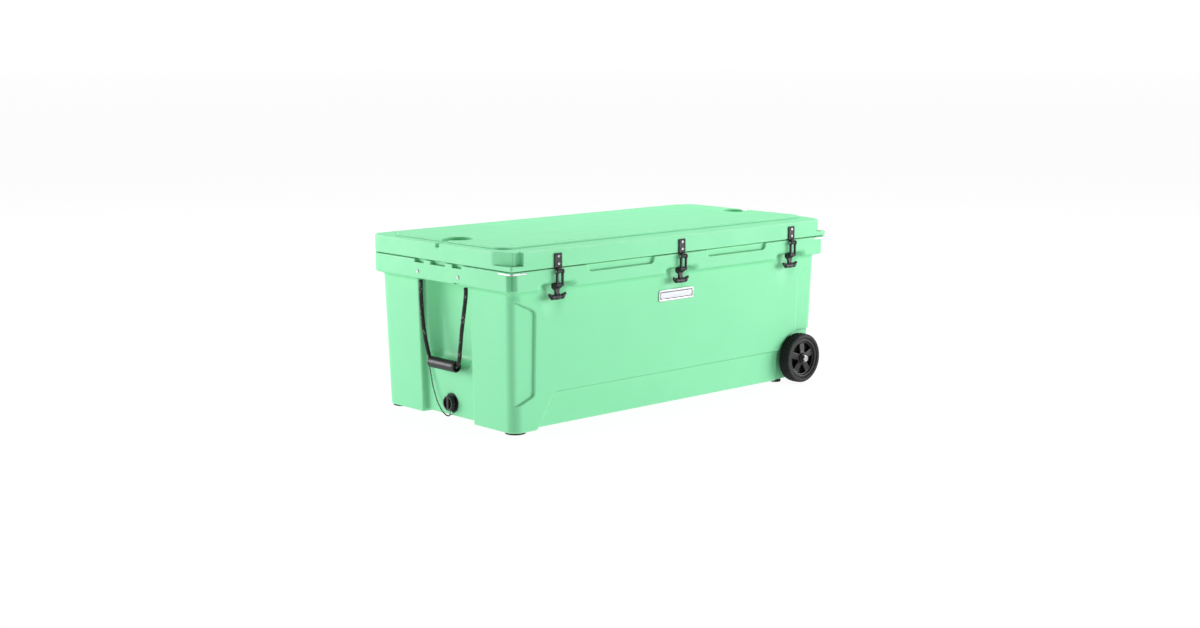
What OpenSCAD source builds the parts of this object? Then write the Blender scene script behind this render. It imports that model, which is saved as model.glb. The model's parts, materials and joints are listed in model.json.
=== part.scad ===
// Rotomoulded hard cooler on two wheels: insulated tub, hinged lid, three rubber
// T-latches, two rope handles and a tethered drain plug.
// The origin is the middle of the footprint on the ground. +X points to the wheel end,
// -X to the drain end, -Y to the front with the latches, +Z up.

/* [Overall] */
// Length over the rim and lid
rim_l = 1200; // [1160:5:1240]
// Width over the rim and lid
rim_w = 600; // [590:2:610]
// Height of the tub's rim above the ground
rim_z = 425; // [424:1:426]
// Overall height to the top of the lid's raised panel
top_z = 482; // [480:1:486]

/* [Tub] */
// Height of the rim's lower edge
collar_z = 373; // [372:1:374]
// Height of the underside between the leg blocks
belly_z = 10; // [9:1:12]
// How far the rim overhangs the tub's wall at the top
overhang = 18; // [17:0.5:20]
// How far the wall leans in from the rim's lower edge to the legs
draft_in = 10; // [8:1:12]
// Radius of the tub's upright corners
tub_r = 30; // [28:1:34]
// Thickness of the moulded skin
skin = 5; // [4.5:0.5:5.5]
// Depth of the broad recess in each end
end_recess = 15; // [12:1:16]
// Extra depth of the hand pocket behind each handle
hand_pocket = 27; // [20:1:28]
// Depth of the lower band and the corner panels on the front
panel_in = 6; // [4:0.5:7]

/* [Lid] */
// Gap between the rim and the lid
lid_gap = 2; // [1.5:0.5:2.5]
// Height of the raised panel on the lid
panel_h = 7; // [5:1:9]
// Diameter of the two cup recesses
cup_d = 84; // [76:2:84]
// Depth of the cup recesses
cup_depth = 12; // [10:1:14]

/* [Wheels] */
// Diameter of the wheels
wheel_d = 144; // [142:1:145]
// Width of the tyres
tyre_w = 38; // [36:1:40]
// Diameter of the axle
axle_d = 12; // [11:0.5:12]

/* [Handles and latches] */
// Diameter of the handle rope
rope_d = 11; // [10:0.5:11]
// Diameter of the handle grip
grip_d = 30; // [28:1:32]
// Length of the handle grip
grip_l = 110; // [108:1:112]
// Distance between neighbouring latches
latch_pitch = 446; // [440:1:450]

/* [Hidden] */

$fn = 64;
hull_fn = 32;
big = 2000;
eps = 0.01;

// Colours
mint = "#95efb9";
mint_dark = "#86dcab";
foam_cream = "#efe6c8";
rubber_black = "#1c1c1d";
plastic_black = "#232325";
steel = "#c9ccd0";
plate_silver = "#d9dadd";

// Rim and lid outline
r_front = 6;
r_rear = 36;

// Tub block: its plan at the legs and at the rim's lower edge
leg_z = 5;
tub_l1 = rim_l - 2 * overhang;
tub_w1 = rim_w - 2 * overhang;
tub_l0 = tub_l1 - 2 * draft_in;
tub_w0 = tub_w1 - 2 * draft_in;
draft = atan(draft_in / (collar_z - leg_z));

// Recesses and pockets of the tub
recess_y = 108;
pocket_y = 82;
pocket_z = 152;
leg_x = 487;
band_z = 99;
band_slant = 54;
panel_x = 504;
well_x = 505;
well_z = wheel_d / 2;
well_r = 76;
well_y = 256;
well_edge_x = well_x - well_r;
well_top_z = 150;
grab_x0 = 102;
grab_x1 = 340;
grab_z = 407;
grab_in = 8;
notch_z = 416;
notch_in = 12;
scoop_in = 30;
scoop_half = 58;
scoop_z = 387;
scoop_lean = 9.8;
channel_w = 14;
channel_z = well_z + axle_d / 2 + 0.2;

// Cavity of the tub
liner_t = 4;
cavity_l1 = 1040;
cavity_w1 = 444;
cavity_l0 = 1010;
cavity_w0 = 414;
cavity_z = 60;
cavity_r = 40;
rim_plate_z = rim_z - 4;
step_x = 440;
step_z = 115;
sump_x = -475;
sump_l = 60;
sump_w = 70;
sump_z = 34;

// Lid
lid_z = rim_z + lid_gap;
panel_z = top_z;
ledge_z = top_z - panel_h;
panel_l = rim_l - 50;
panel_w = rim_w - 130;
panel_r = 35;
liner_plate_t = 5;
plug_z = rim_z - 10;
plug_l = cavity_l1 - 6;
plug_w = cavity_w1 - 6;
cup_x = 532;
drain_slot_w = 14;
drain_slot_z = ledge_z - 12;
flange_z = 440;
corner_x = rim_l / 2;
corner_y = rim_w / 2;
padlock_x = corner_x - 11.5;
padlock_y = corner_y - 9.5;
padlock_r = 4;

// Corner plates
plate_z0 = 418;
plate_t = 4;
plate_w = 24;
plate_reach = 52;
plate_proud = 0.5;
plate_screw = [28, 12];

// Hinges along the rear edge
hinge_y = corner_y + 2;
hinge_z = rim_z + lid_gap / 2;
hinge_x = 420;
knuckle_r = 12;
knuckle_gap = 0.6;
lid_knuckle_l = 60;
tub_knuckle_l = 50;
hinge_pin_r = 4;
running = 0.05;

// Latches
latch_y = -corner_y - 8;
latch_z = 418;
latch_pin_r = 2;
eye_r = 6;
eye_x0 = 6.4;
eye_x1 = 12;
lug_half = 6;
bracket_half = 13;
bracket_t = 3;
bracket_z1 = 464;
bracket_screw_z = [437, 456];
strap_t = 6;
hook_z0 = 374;
hook_z1 = 385;
hook_y0 = -corner_y + 0.5;
hook_y1 = -corner_y + 11;
hook_half = 14;
neck_r = 7;
waist_z = 366;
crossbar_y = -corner_y + 2;
crossbar_z = 349.5;
crossbar_r = 6;

// Handles
handle_x = rim_l / 2 - 17;
pivot_z = 366.5;
grip_z = 152;
bore_y = 96;
rope_r = rope_d / 2;
knot_r = 9;
knot_z = 399;
knot_h = 13;
boss_z = 416;
handle_screw_y = 86;
handle_screw_z = 393;
// One end's rope from the rear knot through the grip to the front knot: [y, z]
ROPE_ROUTE = [
    [96, 366.5], [96, 350], [96, 330], [95, 310], [93, 290], [91, 270], [88, 250],
    [84, 230], [79, 210], [73, 191], [67, 174], [62, 163.5], [56.5, 156], [51, 152.8],
    [44, 152], [30, 152], [15, 152], [0, 152], [-15, 152], [-30, 152], [-44, 152],
    [-51, 152.8], [-56.5, 156], [-62, 163.5], [-65.5, 174], [-68, 191], [-71, 210],
    [-74, 230], [-77, 250],
    [-81, 270], [-85, 290], [-89, 310], [-93, 330], [-96, 350], [-96, 366.5]
];

// Drain
drain_z = 45;
drain_hole_r = 14;
drain_ring_r = 26;
drain_ring_in = 6;
thread_r = 9;
plug_x = -558;
plug_r = 20;
ring_r0 = 15;
// Bead chain from the wall anchor to the plug's tether ring: [x, y, z]
CHAIN_ROUTE = [
    [-566, 86, 139.8], [-566, 85, 131], [-566, 82, 118], [-566, 78, 104], [-567, 73, 88],
    [-567, 67, 72], [-567, 60, 57], [-568, 51, 42], [-568, 40, 29], [-569, 28, 19],
    [-569, 16, 12.5], [-570, 5, 10.5], [-570, -2.5, 11.8], [-570, -6.5, 15]
];
chain_r = 1.6;

// Feet
foot_r = 27;
foot_x = 541;
foot_y = 241;
rear_foot_x = 458;
rear_foot_y = 238;
rear_foot_r = 16;
screw_r = 2.5;

// Wheels and axle
axle_r = axle_d / 2;
wheel_y = corner_y - 10.5;
nut_end_y = corner_y + 16;
hub_out = wheel_y + tyre_w / 2;
hub_in = wheel_y - tyre_w / 2;
clamp_y = 170;
clamp_pitch = 44;

// ---------- helpers ----------

// Rectangle with round corners, centred on the origin
module round_rect(l, w, r) {
    square([l - 2 * r, w], center = true);
    square([l, w - 2 * r], center = true);
    for (sx = [-1, 1], sy = [-1, 1])
        translate([sx * (l / 2 - r), sy * (w / 2 - r)]) circle(r);
}

// Outline of the rim and the lid, moved in by inset
module rim_plan(inset) {
    l = rim_l / 2 - inset;
    w = rim_w / 2 - inset;
    rf = r_front - min(inset, r_front - 3);
    rr = r_rear - inset;
    translate([-l + rr, -w]) square([2 * (l - rr), 2 * w]);
    translate([-l, -w + rf]) square([2 * l, 2 * w - rf - rr]);
    translate([-l + rf, -w]) square([2 * (l - rf), w]);
    for (s = [-1, 1]) {
        translate([s * (l - rf), -w + rf]) circle(rf);
        translate([s * (l - rr), w - rr]) circle(rr);
    }
}

// Tub block with leaning walls, moved in by inset on every side, from z0 to z1
module tub_block(inset, z0, z1) {
    function lean(z) = draft_in * (z - leg_z) / (collar_z - leg_z) - inset;
    hull() for (z = [z0, z1 - 1])
        translate([0, 0, z]) linear_extrude(1)
            round_rect(tub_l0 + 2 * lean(z), tub_w0 + 2 * lean(z), tub_r - inset, $fn = hull_fn);
}

// Everything outside a plane parallel to the drain end's wall and depth inside it
module beyond_end(depth) {
    translate([-tub_l0 / 2 + depth, 0, leg_z]) rotate([0, -draft, 0])
        translate([-big, -big / 2, -big / 2]) cube([big, big, big]);
}

// Everything outside a plane parallel to the front wall and depth inside it
module beyond_front(depth) {
    translate([0, -tub_w0 / 2 + depth, leg_z]) rotate([draft, 0, 0])
        translate([-big / 2, -big, -big / 2]) cube([big, big, big]);
}

// An outline in X and Z, carried along Y from y0 to y1
module along_y(y0, y1) {
    translate([0, y1, 0]) rotate([90, 0, 0]) linear_extrude(y1 - y0) children();
}

module both_ends() { for (a = [0, 180]) rotate([0, 0, a]) children(); }
module both_sides() { for (m = [0, 1]) mirror([0, m, 0]) children(); }
module both_corners() { for (m = [0, 1]) mirror([m, 0, 0]) children(); }

// A box from one corner to the opposite one
module span(a, b) { translate(a) cube(b - a); }

// A round bar along X or Y, from a to b
module bar_x(a, b, r) { translate([a, 0, 0]) rotate([0, 90, 0]) cylinder(r = r, h = b - a); }
module bar_y(a, b, r) { translate([0, b, 0]) rotate([90, 0, 0]) cylinder(r = r, h = b - a); }

// Screw standing along +Z with its head's underside at z = 0 and its shank going down
module screw(shank_r, shank_l, head_r, head_h) {
    translate([0, 0, -shank_l]) cylinder(r = shank_r, h = shank_l + eps);
    difference() {
        cylinder(r1 = head_r, r2 = head_r * 0.8, h = head_h);
        translate([0, 0, head_h - 0.9]) cylinder(r = head_r * 0.4, h = 2, $fn = 6);
    }
}

// Tube with flat ends, swept along a list of points
function unit(v) = v / norm(v);
function tangent(p, i) = unit(p[min(i + 1, len(p) - 1)] - p[max(i - 1, 0)]);
module swept_tube(p, r, sides, side_axis) {
    rings = [for (i = [0:len(p) - 1])
        let (t = tangent(p, i), u = unit(cross(side_axis, t)), v = cross(t, u))
        for (k = [0:sides - 1]) p[i] + r * (cos(360 * k / sides) * u + sin(360 * k / sides) * v)];
    n = len(p);
    polyhedron(rings, concat(
        [[for (k = [0:sides - 1]) k]],
        [for (i = [0:n - 2], k = [0:sides - 1])
            let (a = i * sides + k, b = i * sides + (k + 1) % sides)
            [a, a + sides, b + sides, b]],
        [[for (k = [sides - 1:-1:0]) (n - 1) * sides + k]]));
}

// ---------- tub ----------

// Hinge knuckles: the lengths of pin held by the tub and by the lid
module tub_knuckle_spans(grow, gap) {
    for (x = [-hinge_x, 0, hinge_x], s = [0, 1])
        translate([x, 0, 0]) mirror([s, 0, 0])
            translate([0, hinge_y, hinge_z])
                bar_x(lid_knuckle_l / 2 + knuckle_gap - gap,
                    lid_knuckle_l / 2 + knuckle_gap + tub_knuckle_l + gap, knuckle_r + grow);
}
module lid_knuckle_spans(grow, gap) {
    for (x = [-hinge_x, 0, hinge_x])
        translate([x, hinge_y, hinge_z])
            bar_x(-lid_knuckle_l / 2 - gap, lid_knuckle_l / 2 + gap, knuckle_r + grow);
}
module hinge_bores(r) {
    reach = lid_knuckle_l / 2 + tub_knuckle_l + 5;
    for (x = [-hinge_x, 0, hinge_x])
        translate([x, hinge_y, hinge_z]) bar_x(-reach, reach, r);
}

// Outline in X and Z of a corner panel at the drain end, grown by g
module corner_panel_outline(g) {
    polygon([
        [-rim_l, collar_z - 2], [-tub_l1 / 2 + 10, 350 + g], [-panel_x - 6, 323 + g],
        [-panel_x + g, 314], [-panel_x + g, 97 - g], [-panel_x - 56, 75 - g], [-rim_l, 60 - g]
    ]);
}

// Outline in X and Z of the lower band
module band_outline(g) {
    polygon([
        [-leg_x - g, -belly_z], [-leg_x - g, belly_z], [-leg_x + band_slant - g, band_z + g],
        [well_x, band_z + g], [well_x, -belly_z]
    ]);
}

// Wheel well at the front wheel, as an outline in X and Z
module well_outline(g) {
    translate([well_x, well_z]) circle(well_r + g);
    translate([well_edge_x - g, -big / 10]) square([big / 10, big / 10 + well_z]);
    translate([well_x, -big / 10]) square([big / 10, big / 10 + well_top_z + g]);
}

// Finger grip under the rim at the front
module grab_outline(g) {
    slant = 4;
    polygon([
        [grab_x0 - g, rim_z + slant], [grab_x0 - g, rim_z], [grab_x0 + slant - g, grab_z - g],
        [grab_x1 - slant + g, grab_z - g], [grab_x1 + g, rim_z], [grab_x1 + g, rim_z + slant]
    ]);
}

// Plan of a corner plate at the drain end
module corner_plate_plan() {
    intersection() {
        rim_plan(-plate_proud);
        union() {
            translate([-corner_x - 5, -corner_y - 5]) square([plate_w + 5, plate_reach + 1]);
            translate([-corner_x - 5, -corner_y - 5]) square([plate_reach + 5, plate_w + 5]);
        }
    }
}

// The scoop behind a latch: a leaning cylinder that cuts deepest at its top, inside the rim
module latch_scoop(g) {
    r = (scoop_half * scoop_half + scoop_in * scoop_in) / (2 * scoop_in);
    intersection() {
        translate([0, -corner_y - r + scoop_in, scoop_z]) rotate([-scoop_lean, 0, 0])
            translate([0, 0, -2 * r]) cylinder(r = r + g, h = 3 * r);
        span([-2 * r, -big / 2, scoop_z - 2 * r], [2 * r, 0, scoop_z + g]);
    }
}

// All that is taken off the outside of the tub, grown by g
module tub_relief(g) {
    both_ends() {
        intersection() {
            beyond_end(end_recess + g);
            span([-rim_l, -recess_y - g, -belly_z], [0, recess_y + g, collar_z + g]);
        }
        intersection() {
            beyond_end(end_recess + hand_pocket + g);
            span([-rim_l, -pocket_y - g, pocket_z - g], [0, pocket_y + g, collar_z + g]);
        }
        for (y = [[-100, -60], [-31, 31], [60, 100]])
            span([-rim_l, y[0] - g, notch_z - g], [-corner_x + notch_in + g, y[1] + g, rim_z + 10]);
        span([-rim_l, -92 - g, collar_z - 5], [-corner_x + 9 + g, -66 + g, collar_z + 5 + g]);
    }
    span([-leg_x - g, -big / 2, -belly_z], [big / 2, big / 2, belly_z + g]);
    span([-big / 2, -recess_y - g, -belly_z], [0, recess_y + g, belly_z + g]);
    both_sides() {
        intersection() {
            beyond_front(panel_in + g);
            along_y(-rim_w, 0) band_outline(g);
        }
        intersection() {
            beyond_front(panel_in + 1 + g);
            along_y(-rim_w, 0) {
                corner_panel_outline(g);
                mirror([1, 0]) corner_panel_outline(g);
            }
        }
        along_y(-rim_w, -well_y + g) well_outline(g);
    }
    both_corners() {
        along_y(-rim_w, -corner_y + grab_in + g) grab_outline(g);
        span([-rim_l, -rim_w, collar_z - 60], [-corner_x + 18 + g, -corner_y + 19 + g, plate_z0]);
        translate([0, 0, plate_z0 - g]) linear_extrude(plate_t + 2 * g) {
            corner_plate_plan();
            if (g > 0) {
                translate([-corner_x - 5, -corner_y - 5]) square([plate_w + 5 + g, plate_reach + 5 + g]);
                translate([-corner_x - 5, -corner_y - 5]) square([plate_reach + 5 + g, plate_w + 5 + g]);
            }
        }
    }
    for (x = [-latch_pitch, 0, latch_pitch]) translate([x, 0, 0]) latch_scoop(g);
    span([well_x - channel_w / 2 - g, -well_y, -belly_z], [well_x + channel_w / 2 + g, well_y, channel_z + g]);
    translate([0, 0, drain_z]) bar_x(-rim_l, plug_x + drain_ring_in + g, drain_ring_r + g);
    lid_knuckle_spans(0.6 + g, knuckle_gap + g);
}

module latch_places() { for (x = [-latch_pitch, 0, latch_pitch]) translate([x, 0, 0]) children(); }

// Rope bores with their knot chambers, at both ends
module rope_bores() {
    both_ends() for (s = [-1, 1]) translate([-handle_x, s * bore_y, 0]) {
        translate([0, 0, collar_z - 1]) cylinder(r = rope_r + 0.5, h = knot_z - collar_z + 1 + eps);
        translate([0, 0, knot_z]) cylinder(r = knot_r, h = knot_h);
    }
}
// Solid blocks in the rim that hold the rope's knots
module rope_bosses() {
    both_ends() both_sides() span([-corner_x + skin - 1, -122, collar_z + 1], [-558, -72, boss_z]);
}
module foot_places() { for (s = [-1, 1]) translate([-foot_x, s * foot_y, 0]) children(); }
module rear_foot_places() { for (s = [-1, 1]) translate([rear_foot_x, s * rear_foot_y, belly_z]) children(); }
module clamp_screw_places() {
    for (y = [-clamp_y, clamp_y], s = [-1, 1])
        translate([well_x + s * clamp_pitch / 2, y, 0]) children();
}
// Screws in the tub, as the solids of the screws or as the holes that they fill
module tub_screw_holes() {
    foot_places() cylinder(r = screw_r, h = 20);
    clamp_screw_places() translate([0, 0, belly_z - 1]) cylinder(r = screw_r, h = 19);
    both_corners() translate([-corner_x + plate_screw[0], -corner_y + plate_screw[1], plate_z0 - 9])
        cylinder(r = 1.5, h = 10);
    both_ends() for (s = [-1, 1]) translate([0, s * handle_screw_y, handle_screw_z])
        bar_x(-corner_x - 1, -corner_x + 12, screw_r);
    translate([0, 86, 144]) bar_x(-570, -545, 1.5);
}
module drain_hole() {
    translate([0, 0, drain_z]) bar_x(plug_x - 5, sump_x, drain_hole_r);
}

module cavity(grow) {
    hull() {
        translate([0, 0, cavity_z - grow]) linear_extrude(eps)
            round_rect(cavity_l0 + 2 * grow, cavity_w0 + 2 * grow, cavity_r + grow, $fn = hull_fn);
        translate([0, 0, rim_z + 20]) linear_extrude(eps)
            round_rect(cavity_l1 + 2 * grow, cavity_w1 + 2 * grow, cavity_r + grow, $fn = hull_fn);
    }
}
// The hollow inside, with its raised step over the axle and its sump at the drain
module hollow(grow) {
    difference() {
        cavity(grow);
        span([step_x + grow, -rim_w, 0], [rim_l, rim_w, step_z - grow]);
    }
    span([sump_x - sump_l / 2 - grow, -sump_w / 2 - grow, sump_z - grow],
        [sump_x + sump_l / 2 + grow, sump_w / 2 + grow, cavity_z + 1]);
}

// Inside of the outer skin
module tub_core() {
    tub_block(skin, leg_z + skin, rim_z + 20);
    translate([0, 0, collar_z + skin]) linear_extrude(rim_z) rim_plan(skin);
}

module tub_shell() {
    color(mint) difference() {
        union() {
            difference() {
                union() {
                    tub_block(0, leg_z, collar_z + 10);
                    translate([0, 0, collar_z]) linear_extrude(rim_z - collar_z) rim_plan(0);
                }
                tub_relief(0);
                difference() {
                    tub_core();
                    tub_relief(skin);
                }
            }
            difference() {
                rope_bosses();
                tub_relief(0);
            }
            difference() {
                tub_knuckle_spans(0, 0);
                span([-big, 0, 0], [big, corner_y - skin, 2 * rim_z]);
                lid_knuckle_spans(0.6, knuckle_gap - eps);
            }
        }
        rope_bores();
        tub_screw_holes();
        hinge_bores(hinge_pin_r);
        drain_hole();
        both_corners() translate([-padlock_x, -padlock_y, plate_z0]) cylinder(r = padlock_r, h = 20);
    }
}

module tub_liner() {
    color(mint_dark) difference() {
        union() {
            hollow(liner_t);
            translate([0, 0, rim_plate_z]) linear_extrude(rim_z - rim_plate_z) rim_plan(skin);
        }
        hollow(0);
        translate([0, 0, rim_z]) linear_extrude(rim_z) rim_plan(-10);
        tub_relief(skin);
        drain_hole();
    }
}

module tub_foam() {
    color(foam_cream) difference() {
        tub_core();
        translate([0, 0, rim_plate_z]) linear_extrude(rim_z) rim_plan(-10);
        tub_relief(skin);
        hollow(liner_t);
        rope_bosses();
        tub_screw_holes();
        drain_hole();
    }
}

module corner_plate() {
    color(plate_silver) {
        difference() {
            translate([0, 0, plate_z0]) linear_extrude(plate_t) corner_plate_plan();
            translate([-padlock_x, -padlock_y, plate_z0 - 1]) cylinder(r = padlock_r, h = plate_t + 2);
        }
        translate([-corner_x + plate_screw[0], -corner_y + plate_screw[1], plate_z0 - 9])
            cylinder(r = 1.5, h = 9 + eps);
    }
}
module corner_plate_left() { corner_plate(); }
module corner_plate_right() { mirror([1, 0, 0]) corner_plate(); }

module nameplate() {
    plate_l = 134;
    plate_h = 31;
    mid_z = 311;
    color(plate_silver)
        translate([0, -tub_w0 / 2, leg_z]) rotate([draft, 0, 0])
            translate([0, 0, mid_z - leg_z]) rotate([90, 0, 0])
                linear_extrude(2.4) round_rect(plate_l, plate_h, 4);
}

module hinge_pin(x) {
    reach = lid_knuckle_l / 2 + knuckle_gap + tub_knuckle_l;
    color(steel) translate([x, hinge_y, hinge_z]) bar_x(-reach, reach, hinge_pin_r);
}
module hinge_pin_left() { hinge_pin(-hinge_x); }
module hinge_pin_middle() { hinge_pin(0); }
module hinge_pin_right() { hinge_pin(hinge_x); }

// ---------- drain ----------

module drain_bushing() {
    flange_x = plug_x + drain_ring_in;
    color(plastic_black) translate([0, 0, drain_z]) difference() {
        union() {
            bar_x(flange_x - 4, flange_x, drain_ring_r - 2);
            bar_x(flange_x - eps, sump_x - sump_l / 2 + 3, drain_hole_r);
            bar_x(sump_x - sump_l / 2, sump_x - sump_l / 2 + 4, drain_hole_r - 2);
        }
        bar_x(-rim_l, sump_x, thread_r + 0.5);
    }
}
module drain_gasket() {
    flange_x = plug_x + drain_ring_in;
    color(rubber_black) translate([0, 0, drain_z]) difference() {
        bar_x(flange_x - 5.5, flange_x - 4, drain_ring_r - 4);
        bar_x(-rim_l, 0, thread_r + 0.5);
    }
}
module drain_plug() {
    face_x = plug_x + drain_ring_in - 5.5;
    head_x = face_x - 4.4;
    color(plastic_black) translate([0, 0, drain_z]) {
        bar_x(head_x - 3, sump_x - sump_l / 2 - 4, thread_r);
        difference() {
            bar_x(head_x - 12, head_x, plug_r);
            for (a = [0:30:330]) rotate([a, 0, 0]) translate([0, 0, plug_r + 1.4]) bar_x(head_x - 20, head_x + 1, 3);
            for (s = [-1, 1]) span([head_x - 13, s * 10 - 6, -plug_r], [head_x - 6, s * 10 + 6, plug_r]);
        }
    }
}
module plug_gasket() {
    head_x = plug_x + drain_ring_in - 9.9;
    color(rubber_black) translate([0, 0, drain_z]) difference() {
        bar_x(head_x, head_x + 1.2, thread_r + 4);
        bar_x(-rim_l, 0, thread_r);
    }
}
// Loose ring behind the plug's head, with the eye that the chain hangs from
module plug_tether_ring() {
    ring_x = plug_x + drain_ring_in - 8.4;
    color(plastic_black) translate([0, 0, drain_z]) difference() {
        union() {
            bar_x(ring_x, ring_x + 2.4, ring_r0);
            span([ring_x, -10, -27], [ring_x + 2.4, -2, -10]);
        }
        bar_x(-rim_l, 0, thread_r + 0.4);
        translate([0, -6, -23.6]) bar_x(-rim_l, 0, 2);
    }
}
module chain_anchor() {
    color(steel) translate([0, 86, 144]) {
        bar_x(-562.1, -545, 1.5);
        translate([-566, 0, 0]) difference() {
            bar_y(-1.2, 1.2, 4);
            bar_y(-3, 3, 1.8);
        }
    }
}
module drain_chain() {
    color(steel) swept_tube(CHAIN_ROUTE, chain_r, 8, [1, 0, 0]);
}

// ---------- feet and running gear ----------

module rubber_feet() {
    color(rubber_black) foot_places() difference() {
        cylinder(r = foot_r, h = leg_z);
        translate([0, 0, -1]) cylinder(r = 5, h = 4);
        cylinder(r = screw_r, h = leg_z + 1);
    }
}
module foot_screws() {
    color(steel) foot_places() translate([0, 0, 3]) mirror([0, 0, 1]) screw(screw_r, 17, 4.5, 1.8);
}
module rear_feet() {
    color(rubber_black) rear_foot_places() translate([0, 0, -belly_z]) cylinder(r = rear_foot_r, h = belly_z);
}
module axle() {
    color(steel) translate([well_x, 0, well_z]) bar_y(-nut_end_y + 0.6, nut_end_y - 0.6, axle_r);
}
module axle_clamps() {
    color(steel) for (y = [-clamp_y, clamp_y]) difference() {
        union() {
            span([well_x - 34, y - 15, belly_z - 3], [well_x + 34, y + 15, belly_z]);
            span([well_x - channel_w / 2 + 0.2, y - 12, belly_z - eps], [well_x + channel_w / 2 - 0.2, y + 12, well_z]);
        }
        translate([well_x, 0, well_z]) bar_y(-rim_w, rim_w, axle_r + 0.1);
        for (s = [-1, 1]) translate([well_x + s * clamp_pitch / 2, y, 0]) cylinder(r = screw_r, h = 40);
    }
}
module axle_clamp_screws() {
    color(steel) clamp_screw_places() translate([0, 0, belly_z - 3]) mirror([0, 0, 1])
        screw(screw_r, 20, 5, 2.6);
}
// Spacer tubes between the wheel wells' walls and the wheels
module axle_spacers() {
    color(plastic_black) both_sides() translate([well_x, 0, well_z]) difference() {
        bar_y(-hub_in + 0.4, -well_y, axle_r + 4);
        bar_y(-rim_w, 0, axle_r + 0.1);
    }
}
module axle_washers() {
    color(steel) both_sides() translate([well_x, 0, well_z]) difference() {
        bar_y(-hub_out - 2.3, -hub_out - 0.3, axle_r + 4);
        bar_y(-rim_w, 0, axle_r + 0.05);
    }
}
module axle_nuts() {
    color(steel) both_sides() translate([well_x, 0, well_z]) difference() {
        translate([0, -hub_out - 2.4, 0]) rotate([90, 0, 0]) cylinder(r = 10, h = nut_end_y - hub_out - 2.4, $fn = 6);
        bar_y(-rim_w, 0, axle_r + 0.02);
    }
}

// Tyre: a section turned about the axle, with three grooves
module tyre() {
    w = tyre_w / 2;
    ro = wheel_d / 2;
    rim_r = 57;
    color(rubber_black) translate([well_x, -wheel_y, well_z]) rotate([90, 0, 0]) difference() {
        rotate_extrude() polygon([
            [rim_r, -w + 4], [rim_r + 3, -w], [ro - 8, -w], [ro - 2, -w + 3], [ro, -w + 8],
            [ro, w - 8], [ro - 2, w - 3], [ro - 8, w], [rim_r + 3, w], [rim_r, w - 4]
        ]);
        for (z = [-9, 0, 9]) translate([0, 0, z - 1.2]) difference() {
            cylinder(r = ro + 5, h = 2.4);
            translate([0, 0, -1]) cylinder(r = ro - 3, h = 5);
        }
    }
}
// Wheel: a barrel and a hub turned in one section with a web, and five pockets cut in the web
module wheel_rim() {
    w = tyre_w / 2;
    rim_r = 57;
    lip_r = 50;
    hub_r = 15;
    bush_r = 9;
    web = 6;
    spoke_w = 19;
    back_t = 3;
    color(plastic_black) translate([well_x, -wheel_y, well_z]) rotate([90, 0, 0]) difference() {
        rotate_extrude() polygon([
            [bush_r, -w], [hub_r, -w], [hub_r, -web], [lip_r, -web], [lip_r, -w + 4], [rim_r, -w + 4],
            [rim_r, w - 4], [lip_r, w - 4], [lip_r, web], [hub_r, web], [hub_r, w], [bush_r, w]
        ]);
        translate([0, 0, back_t - web]) linear_extrude(2 * web) difference() {
            circle(lip_r - 5);
            circle(hub_r + 3);
            for (a = [90:72:378]) rotate(a) translate([0, -spoke_w / 2]) square([lip_r, spoke_w]);
        }
    }
}
// Two flanged bushes in a hub
module wheel_bushes() {
    w = tyre_w / 2;
    color(plastic_black) translate([well_x, -wheel_y, well_z]) rotate([90, 0, 0]) for (s = [0, 1]) mirror([0, 0, s])
        difference() {
            translate([0, 0, 4]) cylinder(r = 9, h = w - 4);
            cylinder(r = axle_r + running, h = w + 1);
        }
}
module tyre_front() { tyre(); }
module tyre_back() { mirror([0, 1, 0]) tyre(); }
module wheel_rim_front() { wheel_rim(); }
module wheel_rim_back() { mirror([0, 1, 0]) wheel_rim(); }
module wheel_bushes_front() { wheel_bushes(); }
module wheel_bushes_back() { mirror([0, 1, 0]) wheel_bushes(); }

// ---------- lid ----------

// Pocket at a front corner that leaves the padlock flange, at the drain end
module corner_pocket_plan(g) {
    polygon([
        [-rim_l, -224 + g], [-corner_x, -224 + g], [-corner_x + 18 + g, -corner_y + 14 + g],
        [-corner_x + 40 + g, -corner_y + 14 + g], [-corner_x + 40 + g, -rim_w], [-rim_l, -rim_w]
    ]);
}

// All that is taken off the outside of the lid, grown by g
module lid_relief(g) {
    both_corners() {
        translate([0, 0, flange_z - g]) linear_extrude(big) corner_pocket_plan(g);
        translate([-cup_x, 0, top_z - cup_depth - g]) cylinder(r = cup_d / 2 + g, h = 50);
        span([-rim_l, -drain_slot_w / 2 - g, drain_slot_z - g], [-cup_x, drain_slot_w / 2 + g, big]);
    }
    tub_knuckle_spans(0.6 + g, knuckle_gap + g);
}
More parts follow.
